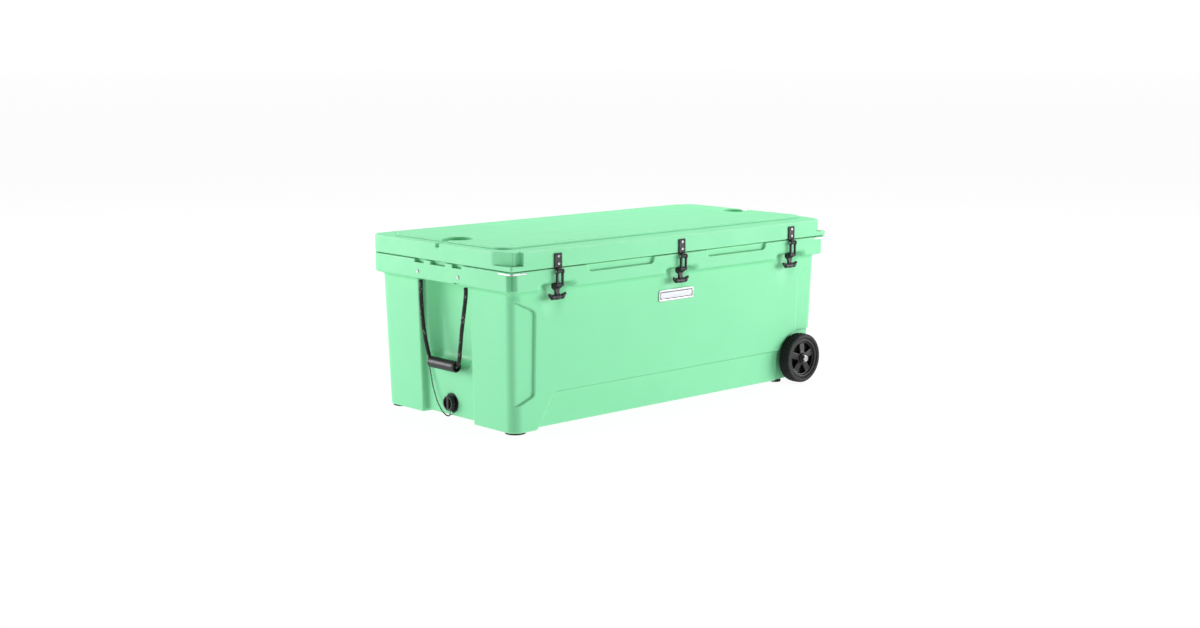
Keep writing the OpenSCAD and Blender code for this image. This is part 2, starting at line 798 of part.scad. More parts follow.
// Inside of the lid's skin
module lid_core() {
    translate([0, 0, lid_z - 1]) linear_extrude(ledge_z - skin - lid_z + 1) rim_plan(skin);
    translate([0, 0, lid_z]) linear_extrude(panel_z - skin - lid_z) round_rect(panel_l - 2 * skin, panel_w - 2 * skin, panel_r - skin);
}
module latch_screw_holes() {
    latch_places() for (z = bracket_screw_z)
        translate([0, 0, z]) bar_y(-corner_y - 1, -corner_y + 14, 2);
}
module padlock_bosses(r) {
    both_corners() translate([-padlock_x, -padlock_y, lid_z]) cylinder(r = r, h = flange_z - lid_z);
}
module lid_shell() {
    color(mint) difference() {
        union() {
            difference() {
                union() {
                    translate([0, 0, lid_z]) linear_extrude(ledge_z - lid_z) rim_plan(0);
                    translate([0, 0, ledge_z - 1]) linear_extrude(panel_h + 1) round_rect(panel_l, panel_w, panel_r);
                }
                lid_relief(0);
                difference() {
                    lid_core();
                    lid_relief(skin);
                    padlock_bosses(9);
                }
            }
            difference() {
                lid_knuckle_spans(0, 0);
                span([-big, 0, 0], [big, corner_y - skin, 2 * rim_z]);
            }
        }
        latch_screw_holes();
        hinge_bores(hinge_pin_r + running);
        both_corners() translate([-padlock_x, -padlock_y, lid_z - 1]) cylinder(r = padlock_r, h = 20);
    }
}
module gasket_ring(z0, h) {
    translate([0, 0, z0]) linear_extrude(h) difference() {
        round_rect(1100, 500, 48);
        round_rect(1084, 484, 40);
    }
}
module lid_liner() {
    color(mint_dark) difference() {
        union() {
            translate([0, 0, lid_z]) linear_extrude(liner_plate_t) rim_plan(skin);
            translate([0, 0, plug_z]) linear_extrude(lid_z - plug_z + 1) round_rect(plug_l, plug_w, cavity_r - 3);
        }
        translate([0, 0, plug_z + liner_t]) linear_extrude(50) round_rect(plug_l - 8, plug_w - 8, cavity_r - 7);
        gasket_ring(lid_z - 5, 7);
        padlock_bosses(9);
        lid_relief(skin);
    }
}
module lid_foam() {
    color(foam_cream) difference() {
        union() {
            intersection() {
                lid_core();
                translate([0, 0, lid_z + liner_plate_t]) linear_extrude(big) rim_plan(-10);
            }
            translate([0, 0, plug_z + liner_t]) linear_extrude(20) round_rect(plug_l - 8, plug_w - 8, cavity_r - 7);
        }
        lid_relief(skin);
        padlock_bosses(9);
        latch_screw_holes();
    }
}
module lid_gasket() {
    color(rubber_black) gasket_ring(rim_z + 0.3, lid_z + 2 - rim_z - 0.3);
}

// ---------- latches ----------

module latch_bracket(x) {
    color(plastic_black) translate([x, 0, 0]) difference() {
        union() {
            along_y(-corner_y - bracket_t, -corner_y)
                translate([0, (bracket_z1 + latch_z + 6) / 2]) round_rect(2 * bracket_half, bracket_z1 - latch_z - 6, 3);
            span([-lug_half, latch_y, latch_z - 1], [lug_half, -corner_y, latch_z + 8]);
            translate([0, latch_y, latch_z]) bar_x(-lug_half, lug_half, 5);
        }
        translate([0, latch_y, latch_z]) bar_x(-20, 20, latch_pin_r);
        for (z = bracket_screw_z) translate([0, 0, z]) bar_y(-corner_y - 20, -corner_y + 1, 2);
    }
}
module latch_screws(x) {
    color(steel) translate([x, 0, 0]) for (z = bracket_screw_z)
        translate([0, -corner_y - bracket_t, z]) rotate([90, 0, 0]) screw(2, 16, 4, 1.8);
}
module latch_pin(x) {
    color(steel) translate([x, latch_y, latch_z]) {
        bar_x(-eye_x1 - 0.3, eye_x1 + 0.3, latch_pin_r);
        for (s = [0, 1]) mirror([s, 0, 0]) bar_x(eye_x1 + 0.3, eye_x1 + 1.5, latch_pin_r + 1.2);
    }
}
// Rubber strap with two eyes, a window, a hook block, a waisted neck and a bowed crossbar
module latch_strap(x) {
    color(rubber_black) translate([x, 0, 0]) difference() {
        union() {
            for (s = [0, 1]) mirror([s, 0, 0]) {
                translate([0, latch_y, latch_z]) bar_x(eye_x0, eye_x1, eye_r);
                span([eye_x0, latch_y - strap_t / 2, hook_z1 - 1], [eye_x1, latch_y + strap_t / 2, latch_z]);
            }
            hull() {
                span([-eye_x1, latch_y - strap_t / 2, hook_z1 - 5], [eye_x1, latch_y + strap_t / 2, hook_z1 + 1]);
                hook_block();
            }
            hull() {
                hook_block();
                strap_waist();
            }
            hull() {
                strap_waist();
                translate([0, crossbar_y, crossbar_z]) rotate([90, 0, 0])
                    cylinder(r = neck_r + 1, h = strap_t, center = true, $fn = hull_fn);
            }
            for (s = [0, 1]) mirror([s, 0, 0]) {
                hull() {
                    translate([0, crossbar_y, crossbar_z]) sphere(r = crossbar_r, $fn = 24);
                    translate([18, crossbar_y, crossbar_z + 1.2]) sphere(r = crossbar_r - 0.2, $fn = 24);
                }
                hull() {
                    translate([18, crossbar_y, crossbar_z + 1.2]) sphere(r = crossbar_r - 0.2, $fn = 24);
                    translate([26, crossbar_y, crossbar_z + 5.2]) sphere(r = crossbar_r - 1.4, $fn = 24);
                }
            }
        }
        translate([0, latch_y, latch_z]) bar_x(-20, 20, latch_pin_r + running);
    }
}
module hook_block() {
    span([-hook_half, hook_y0, hook_z0], [hook_half, hook_y1, hook_z1]);
}
module strap_waist() {
    translate([0, -corner_y + 4, waist_z]) rotate([90, 0, 0])
        cylinder(r = neck_r, h = strap_t, center = true, $fn = hull_fn);
}
module latch_bracket_left() { latch_bracket(-latch_pitch); }
module latch_bracket_middle() { latch_bracket(0); }
module latch_bracket_right() { latch_bracket(latch_pitch); }
module latch_screws_left() { latch_screws(-latch_pitch); }
module latch_screws_middle() { latch_screws(0); }
module latch_screws_right() { latch_screws(latch_pitch); }
module latch_pin_left() { latch_pin(-latch_pitch); }
module latch_pin_middle() { latch_pin(0); }
module latch_pin_right() { latch_pin(latch_pitch); }
module latch_strap_left() { latch_strap(-latch_pitch); }
module latch_strap_middle() { latch_strap(0); }
module latch_strap_right() { latch_strap(latch_pitch); }

// ---------- handles ----------

// Rope held fast in the rim: a short stub in each bore, ending in a knot
module rope_knots() {
    color(rubber_black) for (s = [-1, 1]) translate([-handle_x, s * bore_y, 0]) {
        translate([0, 0, pivot_z + rope_r + 0.5]) cylinder(r = rope_r, h = knot_z - pivot_z - rope_r);
        translate([0, 0, knot_z]) cylinder(r = knot_r, h = knot_h);
    }
}
module handle_rope() {
    color(rubber_black) {
        swept_tube([for (p = ROPE_ROUTE) [-handle_x, p[0], p[1]]], rope_r, 12, [1, 0, 0]);
        for (s = [-1, 1]) translate([-handle_x, s * bore_y, pivot_z]) sphere(r = rope_r - 0.3);
    }
}
module handle_grip() {
    flare = 12;
    color(plastic_black) translate([-handle_x, 0, grip_z]) rotate([90, 0, 0]) rotate_extrude() polygon([
        [rope_r + 0.7, -grip_l / 2 + flare], [11, -grip_l / 2], [grip_d / 2 - 2, -grip_l / 2],
        [grip_d / 2, -grip_l / 2 + 2], [grip_d / 2, grip_l / 2 - 2], [grip_d / 2 - 2, grip_l / 2],
        [11, grip_l / 2], [rope_r + 0.7, grip_l / 2 - flare]
    ]);
}
module handle_screws() {
    color(steel) for (s = [-1, 1]) translate([-corner_x, s * handle_screw_y, handle_screw_z])
        rotate([0, -90, 0]) screw(screw_r, 12, 5, 2);
}
module rope_knots_left() { rope_knots(); }
module rope_knots_right() { rotate([0, 0, 180]) rope_knots(); }
module handle_rope_left() { handle_rope(); }
module handle_rope_right() { rotate([0, 0, 180]) handle_rope(); }
module handle_grip_left() { handle_grip(); }
module handle_grip_right() { rotate([0, 0, 180]) handle_grip(); }
module handle_screws_left() { handle_screws(); }
module handle_screws_right() { rotate([0, 0, 180]) handle_screws(); }

tub_shell();
tub_liner();
tub_foam();
corner_plate_left();
corner_plate_right();
nameplate();
hinge_pin_left();
hinge_pin_middle();
hinge_pin_right();
drain_bushing();
drain_gasket();
chain_anchor();
drain_chain();
rope_knots_left();
rope_knots_right();
handle_screws_left();
handle_screws_right();
rubber_feet();
foot_screws();
rear_feet();
axle();
axle_clamps();
axle_clamp_screws();
axle_spacers();
axle_washers();
axle_nuts();
lid_shell();
lid_liner();
lid_foam();
lid_gasket();
latch_bracket_left();
latch_bracket_middle();
latch_bracket_right();
latch_screws_left();
latch_screws_middle();
latch_screws_right();
latch_pin_left();
latch_pin_middle();
latch_pin_right();
latch_strap_left();
latch_strap_middle();
latch_strap_right();
handle_rope_left();
handle_rope_right();
handle_grip_left();
handle_grip_right();
plug_tether_ring();
drain_plug();
plug_gasket();
tyre_front();
tyre_back();
wheel_rim_front();
wheel_rim_back();
wheel_bushes_front();
wheel_bushes_back();
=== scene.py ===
"""Wheeled hard cooler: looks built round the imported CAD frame. Geometry here is in millimetres
and becomes metres when a mesh is made. +X is the wheel end, -Y the front with the latches."""
import json
import math

import bpy
import numpy as np
from mathutils import Matrix, Vector


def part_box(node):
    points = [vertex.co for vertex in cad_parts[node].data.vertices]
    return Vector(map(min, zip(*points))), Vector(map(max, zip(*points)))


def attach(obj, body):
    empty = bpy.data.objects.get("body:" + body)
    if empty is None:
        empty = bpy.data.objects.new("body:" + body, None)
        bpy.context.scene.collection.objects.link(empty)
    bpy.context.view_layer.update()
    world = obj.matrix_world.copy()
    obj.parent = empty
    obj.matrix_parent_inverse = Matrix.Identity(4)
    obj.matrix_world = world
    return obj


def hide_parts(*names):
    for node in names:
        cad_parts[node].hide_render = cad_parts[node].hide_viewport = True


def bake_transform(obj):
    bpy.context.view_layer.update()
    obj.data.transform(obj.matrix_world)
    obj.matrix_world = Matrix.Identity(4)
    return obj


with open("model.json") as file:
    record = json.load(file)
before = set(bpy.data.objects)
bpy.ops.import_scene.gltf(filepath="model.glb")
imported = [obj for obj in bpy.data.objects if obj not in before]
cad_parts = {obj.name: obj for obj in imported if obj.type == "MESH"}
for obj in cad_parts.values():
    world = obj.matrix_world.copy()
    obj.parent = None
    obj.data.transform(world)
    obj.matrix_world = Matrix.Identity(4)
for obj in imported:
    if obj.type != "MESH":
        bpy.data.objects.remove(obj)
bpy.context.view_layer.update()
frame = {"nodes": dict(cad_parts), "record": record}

MM = 0.001

# ------------------------------------------------------------ sizes, from the frame where it gives them


def node_box(name):
    """Lowest and highest corner of a CAD node in millimetres."""
    lo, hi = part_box(name)
    return np.array(lo) / MM, np.array(hi) / MM


LID_LO, LID_HI = node_box("lid_shell")
HALF_L = LID_HI[0]
HALF_W = -LID_LO[1]
RIM_Z = node_box("tub_liner")[1][2]
LID_Z = RIM_Z + 2.0
TOP_Z = LID_HI[2]
LEDGE_Z = TOP_Z - 7.0          # rim of the lid, round its raised panel
COLLAR_Z = 373.0               # underside of the tub's overhanging rim
LEG_Z = node_box("tub_shell")[0][2]
BELLY_Z = node_box("rear_feet")[1][2]
OVERHANG = 18.0                # of the rim over the wall just below it
DRAFT_IN = 10.0                # how far the walls lean in from the rim down to the legs
SLOPE = DRAFT_IN / (COLLAR_Z - LEG_Z)
DRAFT_COS = 1.0 / math.hypot(1.0, SLOPE)
LATCH_X = (-446.0, 0.0, 446.0)
PIVOT_Y, PIVOT_Z = -308.0, 418.0    # latch pin
HINGE_X = (-420.0, 0.0, 420.0)
HINGE_R = 12.0                 # knuckle
LOCK_X, LOCK_Y, LOCK_R = 588.5, -290.5, 4.0    # padlock hole through lid, corner plate and tub
DRAIN_Z = 45.0
WHEEL_Y = -289.5               # middle of the front wheel
AXLE_X = 505.0
AXLE_Z = 72.0                  # the wheel's radius too, as it stands on the floor
WELL_R = 76.0
WELL_Y = 256.0                 # where the wheel wells start
HANDLE_X = 583.0               # ropes and grips hang in this plane
GRIP_Z = 152.0

# ------------------------------------------------------------ distance functions


def fillet_min(a, b, r):
    """Union of two distance fields with a round fillet of radius r between them."""
    u = np.maximum(r - a, 0.0)
    v = np.maximum(r - b, 0.0)
    return np.maximum(r, np.minimum(a, b)) - np.sqrt(u * u + v * v)


def round_max(a, b, r):
    """Intersection of two distance fields with the edge rounded to radius r."""
    return -fillet_min(-a, -b, r)


def cut(a, b, r):
    """a with b taken out of it, the new edge rounded to radius r."""
    return round_max(a, -b, r)


def plan(x, y, half_x, half_y, r):
    """Rectangle with round corners. r may be a field, so that corners differ."""
    qx = np.abs(x) - half_x + r
    qy = np.abs(y) - half_y + r
    outside = np.hypot(np.maximum(qx, 0.0), np.maximum(qy, 0.0))
    return np.minimum(np.maximum(qx, qy), 0.0) + outside - r


def block(x, y, z, lo, hi, r):
    """Box from corner lo to corner hi with edges of radius r."""
    qx = np.abs(x - (lo[0] + hi[0]) / 2) - (hi[0] - lo[0]) / 2 + r
    qy = np.abs(y - (lo[1] + hi[1]) / 2) - (hi[1] - lo[1]) / 2 + r
    qz = np.abs(z - (lo[2] + hi[2]) / 2) - (hi[2] - lo[2]) / 2 + r
    outside = np.sqrt(np.maximum(qx, 0.0) ** 2 + np.maximum(qy, 0.0) ** 2 + np.maximum(qz, 0.0) ** 2)
    return np.minimum(np.maximum(np.maximum(qx, qy), qz), 0.0) + outside - r


def line_side(u, v, a, b):
    """Signed distance from the line through a and b, negative on its left."""
    du, dv = b[0] - a[0], b[1] - a[1]
    n = math.hypot(du, dv)
    return ((u - a[0]) * dv - (v - a[1]) * du) / n


def outline(u, v, points, r):
    """Convex outline, its points anticlockwise, with corners of radius r."""
    field = None
    for a, b in zip(points, points[1:] + points[:1]):
        side = line_side(u, v, a, b)
        field = side if field is None else round_max(field, side, r)
    return field


def walls(x, y, z, inset, r):
    """The leaning walls of the tub, moved in by inset."""
    lean = SLOPE * (np.minimum(z, COLLAR_Z + 8.0) - COLLAR_Z) - inset
    return plan(x, y, HALF_L - OVERHANG + lean, HALF_W - OVERHANG + lean, r) * DRAFT_COS


def rim_plan(x, y):
    """Plan of the rim: tight corners at the front, wide ones at the rear."""
    return plan(x, y, HALF_L, HALF_W, np.where(y < 0.0, 6.0, 36.0))


def disc(radial, along, r, lo, hi, edge):
    """Disc of radius r from lo to hi along its axis."""
    return round_max(radial - r, np.abs(along - (lo + hi) / 2) - (hi - lo) / 2, edge)


def rod(x, y, z, a, b, ra, rb):
    """Round-ended rod from a to b, its radius going from ra to rb."""
    d = [q - p for p, q in zip(a, b)]
    t = ((x - a[0]) * d[0] + (y - a[1]) * d[1] + (z - a[2]) * d[2]) / sum(v * v for v in d)
    t = np.clip(t, 0.0, 1.0)
    px, py, pz = a[0] + t * d[0], a[1] + t * d[1], a[2] + t * d[2]
    return np.sqrt((x - px) ** 2 + (y - py) ** 2 + (z - pz) ** 2) - (ra + (rb - ra) * t)


def from_hinge(y, z):
    """Distance from the lid's hinge axis."""
    return np.hypot(y - HALF_W - 2.0, z - RIM_Z - 1.0)


def along_hinge(x):
    """Distance along the rear edge from the middle of the nearest hinge."""
    return np.minimum.reduce([np.abs(x - middle) for middle in HINGE_X])


def from_latch_pin(y, z):
    return np.hypot(y - PIVOT_Y, z - PIVOT_Z)


def from_drain(y, z):
    return np.hypot(y, z - DRAIN_Z)


def lock_hole(ax, y):
    """Round padlock hole, the same in the lid, the corner plate and the tub."""
    return np.hypot(ax - LOCK_X, y - LOCK_Y) - LOCK_R


def tub_field(x, y, z):
    """Tub: outer skin with all its recesses, rim and inner cavity."""
    ax, ay = np.abs(x), np.abs(y)
    lean = SLOPE * (np.minimum(z, COLLAR_Z + 8.0) - COLLAR_Z)
    end_face = (ax - (HALF_L - OVERHANG + lean)) * DRAFT_COS
    side_face = (ay - (HALF_W - OVERHANG + lean)) * DRAFT_COS
    body = round_max(walls(x, y, z, 0.0, 30.0), LEG_Z - z, 3.5)
    body = np.maximum(body, z - (COLLAR_Z + 30.0))

    # lower band and corner panels on the long sides
    band = round_max(z - 99.0, line_side(x, z, (-433.0, 99.0), (-487.0, 10.0)), 6.0)
    band = round_max(band, -side_face - 6.0, 3.0)
    body = cut(body, np.maximum(band, x - 520.0), 5.0)
    panel = outline(-ax, z, [(-700.0, 71.7), (-560.0, 75.0), (-504.0, 97.0), (-504.0, 316.0),
                             (-510.0, 323.0), (-572.0, 350.0), (-700.0, 405.0)], 7.0)
    panel = round_max(panel, -side_face - 7.0, 3.5)
    body = cut(body, panel, 5.0)

    # broad end recess and the hand pocket in it
    recess = round_max(round_max(-end_face - 15.0, ay - 108.0, 5.0), z - COLLAR_Z - 2.0, 2.0)
    body = cut(body, recess, 5.0)
    pocket = round_max(-end_face - 42.0, ay - 82.0, 24.0)
    pocket = round_max(pocket, 152.0 - z, 26.0)
    body = cut(body, np.maximum(pocket, z - COLLAR_Z - 2.0), 15.0)

    # collar: the overhanging rim
    lip = np.where(z < 400.0, 6.0, 3.0)
    collar = round_max(rim_plan(x, y), np.abs(z - (COLLAR_Z + RIM_Z) / 2) - (RIM_Z - COLLAR_Z) / 2, lip)
    tub = fillet_min(body, collar, 11.0)

    # scoops behind the latches: leaning cylinders that reach up behind the rim's face
    half_width, scoop_depth, scoop_top = 58.0, 30.0, 387.0
    scoop_r = (half_width ** 2 + scoop_depth ** 2) / (2 * scoop_depth)
    tilt = math.radians(9.8)
    for latch_x in LATCH_X:
        depth = (y + HALF_W + scoop_r - scoop_depth) * math.cos(tilt) - (z - scoop_top) * math.sin(tilt)
        scoop = round_max(np.hypot(x - latch_x, depth) - scoop_r, z - scoop_top, 9.0)
        tub = cut(tub, np.maximum(scoop, y + 200.0), 9.0)

    # finger grips, end notches, rope slits and the padlock corners of the collar
    grab = outline(ax, z, [(106.0, 407.0), (336.0, 407.0), (343.0, 440.0), (99.0, 440.0)], 7.0)
    grab = round_max(grab, y + HALF_W - 8.0, 3.0)
    tub = cut(tub, grab, 3.0)
    notch = np.minimum(np.abs(ay - 80.0) - 20.0, ay - 31.0)
    notch = round_max(round_max(notch, 416.0 - z, 1.5), HALF_L - 12.0 - ax, 2.0)
    tub = cut(tub, notch, 1.5)
    slit_y = y * np.sign(-x)
    slit = block(ax, slit_y, z, (591.0, -92.0, 366.0), (700.0, -66.0, 378.0), 1.0)
    tub = cut(tub, slit, 1.0)
    corner = block(ax, y, z, (582.0, -400.0, 300.0), (700.0, -281.0, 419.0), 3.0)
    tub = cut(tub, corner, 2.5)
    hole = round_max(lock_hole(ax, y), 400.0 - z, 0.1)
    tub = cut(tub, hole, 0.4)

    # belly between the legs, wheel wells, axle channel, drain recess
    leg = round_max(x + 487.0, 108.0 - ay, 8.0)
    tub = cut(tub, round_max(z - BELLY_Z, -leg, 2.0), 3.5)
    well = np.hypot(x - AXLE_X, z - AXLE_Z) - WELL_R
    well = np.minimum(well, round_max(AXLE_X - WELL_R - x, z - AXLE_Z, 1.0))
    well = fillet_min(well, round_max(AXLE_X - x, z - 150.0, 1.0), 2.0)
    tub = cut(tub, round_max(well, WELL_Y - ay, 5.0), 2.5)
    channel = round_max(np.abs(x - AXLE_X) - 7.0, z - 79.0, 2.0)
    tub = cut(tub, channel, 2.0)
    ring = round_max(from_drain(y, z) - 26.0, x + 552.0, 1.5)
    tub = cut(tub, ring, 2.5)

    # hinge pockets in the rim's rear edge, and the inner cavity
    tub = cut(tub, round_max(from_hinge(y, z) - HINGE_R - 0.6, along_hinge(x) - 30.6, 0.5), 1.5)
    floor_z = 60.0
    flare = (z - floor_z) / (RIM_Z - floor_z) * 15.0
    cavity = plan(x, y, 505.0 + flare, 207.0 + flare, 40.0)
    cavity = round_max(cavity, floor_z - z, 18.0)
    step = round_max(440.0 - x, z - 115.0, 12.0)
    cavity = cut(cavity, step, 12.0)
    sump = block(x, y, z, (-505.0, -35.0, 34.0), (-445.0, 35.0, 90.0), 8.0)
    cavity = fillet_min(cavity, sump, 5.0)
    return cut(tub, cavity, 5.0)


def lid_field(x, y, z):
    """Lid: rim block, raised panel, plug underneath, cups, slots and corner pockets."""
    ax, ay = np.abs(x), np.abs(y)
    slab = round_max(rim_plan(x, y), np.abs(z - (LID_Z + LEDGE_Z) / 2) - (LEDGE_Z - LID_Z) / 2, 3.5)
    panel = plan(x, y, HALF_L - 25.0, HALF_W - 65.0, 35.0)
    panel = round_max(panel, np.abs(z - (TOP_Z + LEDGE_Z - 12.0) / 2) - (TOP_Z - LEDGE_Z + 12.0) / 2, 4.5)
    lid = fillet_min(slab, panel, 2.5)

    # corner pockets over the padlock plates
    shelf = np.maximum(286.0 + y, 560.0 - ax)
    ramp = line_side(ax, -y, (582.0, 286.0), (600.0, 224.0))
    pocket = round_max(fillet_min(shelf, ramp, 3.0), 440.0 - z, 1.5)
    lid = cut(lid, pocket, 1.5)
    hole = np.maximum(lock_hole(ax, y), z - 445.0)
    lid = cut(lid, hole, 0.4)

    # cup recesses and the drain slots that run out of them
    cup = round_max(np.hypot(ax - 532.0, y) - 42.0, TOP_Z - 12.0 - z, 6.0)
    lid = cut(lid, cup, 3.0)
    slot = round_max(ay - 7.0, LEDGE_Z - 12.0 - z, 3.0)
    lid = cut(lid, np.maximum(slot, 540.0 - ax), 2.0)

    # plug underneath, and pockets for the tub's knuckles
    plug = plan(x, y, 517.0, 219.0, 37.0)
    plug = round_max(plug, np.abs(z - 425.0) - 10.0, 4.0)
    lid = fillet_min(lid, plug, 2.0)
    pockets = np.abs(along_hinge(x) - 55.6) - 25.6
    return cut(lid, round_max(from_hinge(y, z) - HINGE_R - 0.6, pockets, 0.5), 1.5)


# ------------------------------------------------------------ surface nets


def spaced(lo, hi, coarse, marks):
    """Grid lines from lo to hi: spacing coarse, and finer inside each mark (start, end, spacing)."""
    out = [lo]
    while out[-1] < hi:
        here = out[-1]
        step = coarse
        for start, end, fine in marks:
            gap = max(start - here, here - end, 0.0)
            step = min(step, fine + 0.45 * gap)
        out.append(here + step)
    return np.array(out)


def gradient(field, p, h=0.05):
    """Unit normals of a field at points p, and its slope there."""
    g = np.empty_like(p)
    for k in range(3):
        d = np.zeros(3)
        d[k] = h
        a, b = (p + d).T, (p - d).T
        g[:, k] = field(*a) - field(*b)
    length = np.linalg.norm(g, axis=1)
    return g / np.maximum(length, 1e-9)[:, None], length / (2 * h)


def surface_net(field, xs, ys, zs, polish=3):
    """Quads round the zero surface of a field sampled on a grid: (points, quads).

    Each grid cell that the surface crosses gets one point, moved onto the surface polish times."""
    values = field(xs[:, None, None], ys[None, :, None], zs[None, None, :])
    values = np.broadcast_to(values, (len(xs), len(ys), len(zs)))
    inside = values < 0.0
    axes = (xs, ys, zs)
    shape = np.array(inside.shape)
    cell_count = shape - 1
    corner_sum = np.zeros(cell_count, np.int8)
    for i in (0, 1):
        for j in (0, 1):
            for k in (0, 1):
                corner_sum += inside[i:shape[0] - 1 + i, j:shape[1] - 1 + j, k:shape[2] - 1 + k]
    active = np.argwhere((corner_sum > 0) & (corner_sum < 8))
    index = np.full(cell_count, -1, np.int64)
    index[tuple(active.T)] = np.arange(len(active))
    total = np.zeros((len(active), 3))
    hits = np.zeros(len(active))
    quads = []
    for axis in range(3):
        b, c = [k for k in range(3) if k != axis]
        for ob in (0, 1):
            for oc in (0, 1):
                start = active.copy()
                start[:, b] += ob
                start[:, c] += oc
                end = start.copy()
                end[:, axis] += 1
                va, vb = values[tuple(start.T)], values[tuple(end.T)]
                crossing = (va < 0.0) != (vb < 0.0)
                t = np.where(crossing, va / np.where(crossing, va - vb, 1.0), 0.0)
                pa = np.stack([axes[k][start[:, k]] for k in range(3)], 1)
                pb = np.stack([axes[k][end[:, k]] for k in range(3)], 1)
                total += np.where(crossing[:, None], pa + (pb - pa) * t[:, None], 0.0)
                hits += crossing
        low = [slice(None)] * 3
        high = [slice(None)] * 3
        low[axis], high[axis] = slice(0, -1), slice(1, None)
        sa, sb = inside[tuple(low)], inside[tuple(high)]
        found = np.argwhere(sa != sb)
        keep = (found[:, b] > 0) & (found[:, c] > 0)
        found = found[keep & (found[:, b] < cell_count[b]) & (found[:, c] < cell_count[c])]
        ring = []
        for db, dc in ((-1, -1), (0, -1), (0, 0), (-1, 0)):
            cell = found.copy()
            cell[:, b] += db
            cell[:, c] += dc
            ring.append(index[tuple(cell.T)])
        quad = np.stack(ring, 1)
        flip = sa[tuple(found.T)] == (axis == 1)
        quad[flip] = quad[flip][:, ::-1]
        quads.append(quad)
    points = total / np.maximum(hits, 1)[:, None]
    for _ in range(polish):
        n, slope = gradient(field, points)
        move = field(*points.T) / np.maximum(slope, 0.3)
        points = points - n * np.clip(move, -1.5, 1.5)[:, None]
    return points, np.concatenate(quads)


def make_mesh(name, points, faces, material, body, smooth=True):
    mesh = bpy.data.meshes.new(name)
    mesh.from_pydata((np.asarray(points) * MM).tolist(), [], [list(map(int, face)) for face in faces])
    mesh.validate()
    mesh.update()
    obj = bpy.data.objects.new(name, mesh)
    bpy.context.scene.collection.objects.link(obj)
    mesh.materials.append(material)
    mesh.shade_smooth() if smooth else mesh.shade_flat()
    if body:
        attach(obj, body)
    return obj


def field_mesh(name, field, xs, ys, zs, material, body, slot):
    """A moulded piece from its distance field, with true normals and a curvature attribute."""
    points, quads = surface_net(field, xs, ys, zs)
    obj = make_mesh(name, points, quads, material, body)
    normals, _ = gradient(field, points)
    reach = 1.6    # how far round a point the curvature is felt
    bend = field(*(points + normals * reach).T) + field(*(points - normals * reach).T)
    for other in (np.array([1.0, 0.7, 0.4]), np.array([-0.5, 0.6, 0.9])):
        side = np.cross(normals, other)
        side /= np.maximum(np.linalg.norm(side, axis=1), 1e-6)[:, None]
        bend += field(*(points + side * reach).T) + field(*(points - side * reach).T)
        turn = np.cross(normals, side)
        bend += field(*(points + turn * reach).T) + field(*(points - turn * reach).T)
    attribute = obj.data.attributes.new("edge_turn", "FLOAT", "POINT")
    attribute.data.foreach_set("value", bend.astype(np.float32))
    obj.data.normals_split_custom_set_from_vertices(normals.tolist())
    return obj


# ------------------------------------------------------------ camera


def aim(obj, position, target):
    """Puts obj at position and points its -Z axis at target."""
    look = Vector(target) - Vector(position)
    obj.location = position
    obj.rotation_euler = look.to_track_quat("-Z", "Y").to_euler()


camera = bpy.data.objects.new("camera", bpy.data.cameras.new("camera"))
bpy.context.scene.collection.objects.link(camera)
bpy.context.scene.camera = camera
camera.data.lens = 53.4
camera.data.sensor_width = 36.0
CAMERA_AT = Vector((-3.405, -3.673, 1.035))
CAMERA_LOOK = Vector((0.6685, 0.7262, -0.1602))
aim(camera, CAMERA_AT, CAMERA_AT + CAMERA_LOOK)

# ------------------------------------------------------------ materials


def node_tools(material):
    """Short names for making and joining nodes of a material."""
    tree = material.node_tree
    shader = next(n for n in tree.nodes if n.type == "BSDF_PRINCIPLED")

    def make(kind, **values):
        node = tree.nodes.new(kind)
        for key, value in values.items():
            if key in node.inputs:
                node.inputs[key].default_value = value
            else:
                setattr(node, key, value)
        return node

    return tree, shader, make


def noise(tree, make, coords, scale, detail=3.0, stretch=None):
    """A noise texture on the piece's own coordinates, stretched along some axes if asked."""
    source = coords.outputs["Object"]
    if stretch:
        mapping = make("ShaderNodeMapping")
        mapping.inputs["Scale"].default_value = stretch
        tree.links.new(source, mapping.inputs["Vector"])
        source = mapping.outputs["Vector"]
    texture = make("ShaderNodeTexNoise", Scale=scale, Detail=detail)
    tree.links.new(source, texture.inputs["Vector"])
    return texture.outputs["Fac"]


def remap(tree, make, source, lo, hi, to_lo, to_hi):
    """Moves the range lo to hi of a socket to the range to_lo to to_hi."""
    node = make("ShaderNodeMapRange")
    for key, value in (("From Min", lo), ("From Max", hi), ("To Min", to_lo), ("To Max", to_hi)):
        node.inputs[key].default_value = value
    tree.links.new(source, node.inputs["Value"])
    return node.outputs["Result"]


def mix_colour(tree, make, factor, a, b):
    """Mixes two colours, each a socket or a tuple, by a factor that is a socket or a number."""
    node = make("ShaderNodeMix", data_type="RGBA")
    for socket, value in ((node.inputs[0], factor), (node.inputs[6], a), (node.inputs[7], b)):
        if hasattr(value, "links"):
            tree.links.new(value, socket)
        else:
            socket.default_value = value
    return node.outputs[2]


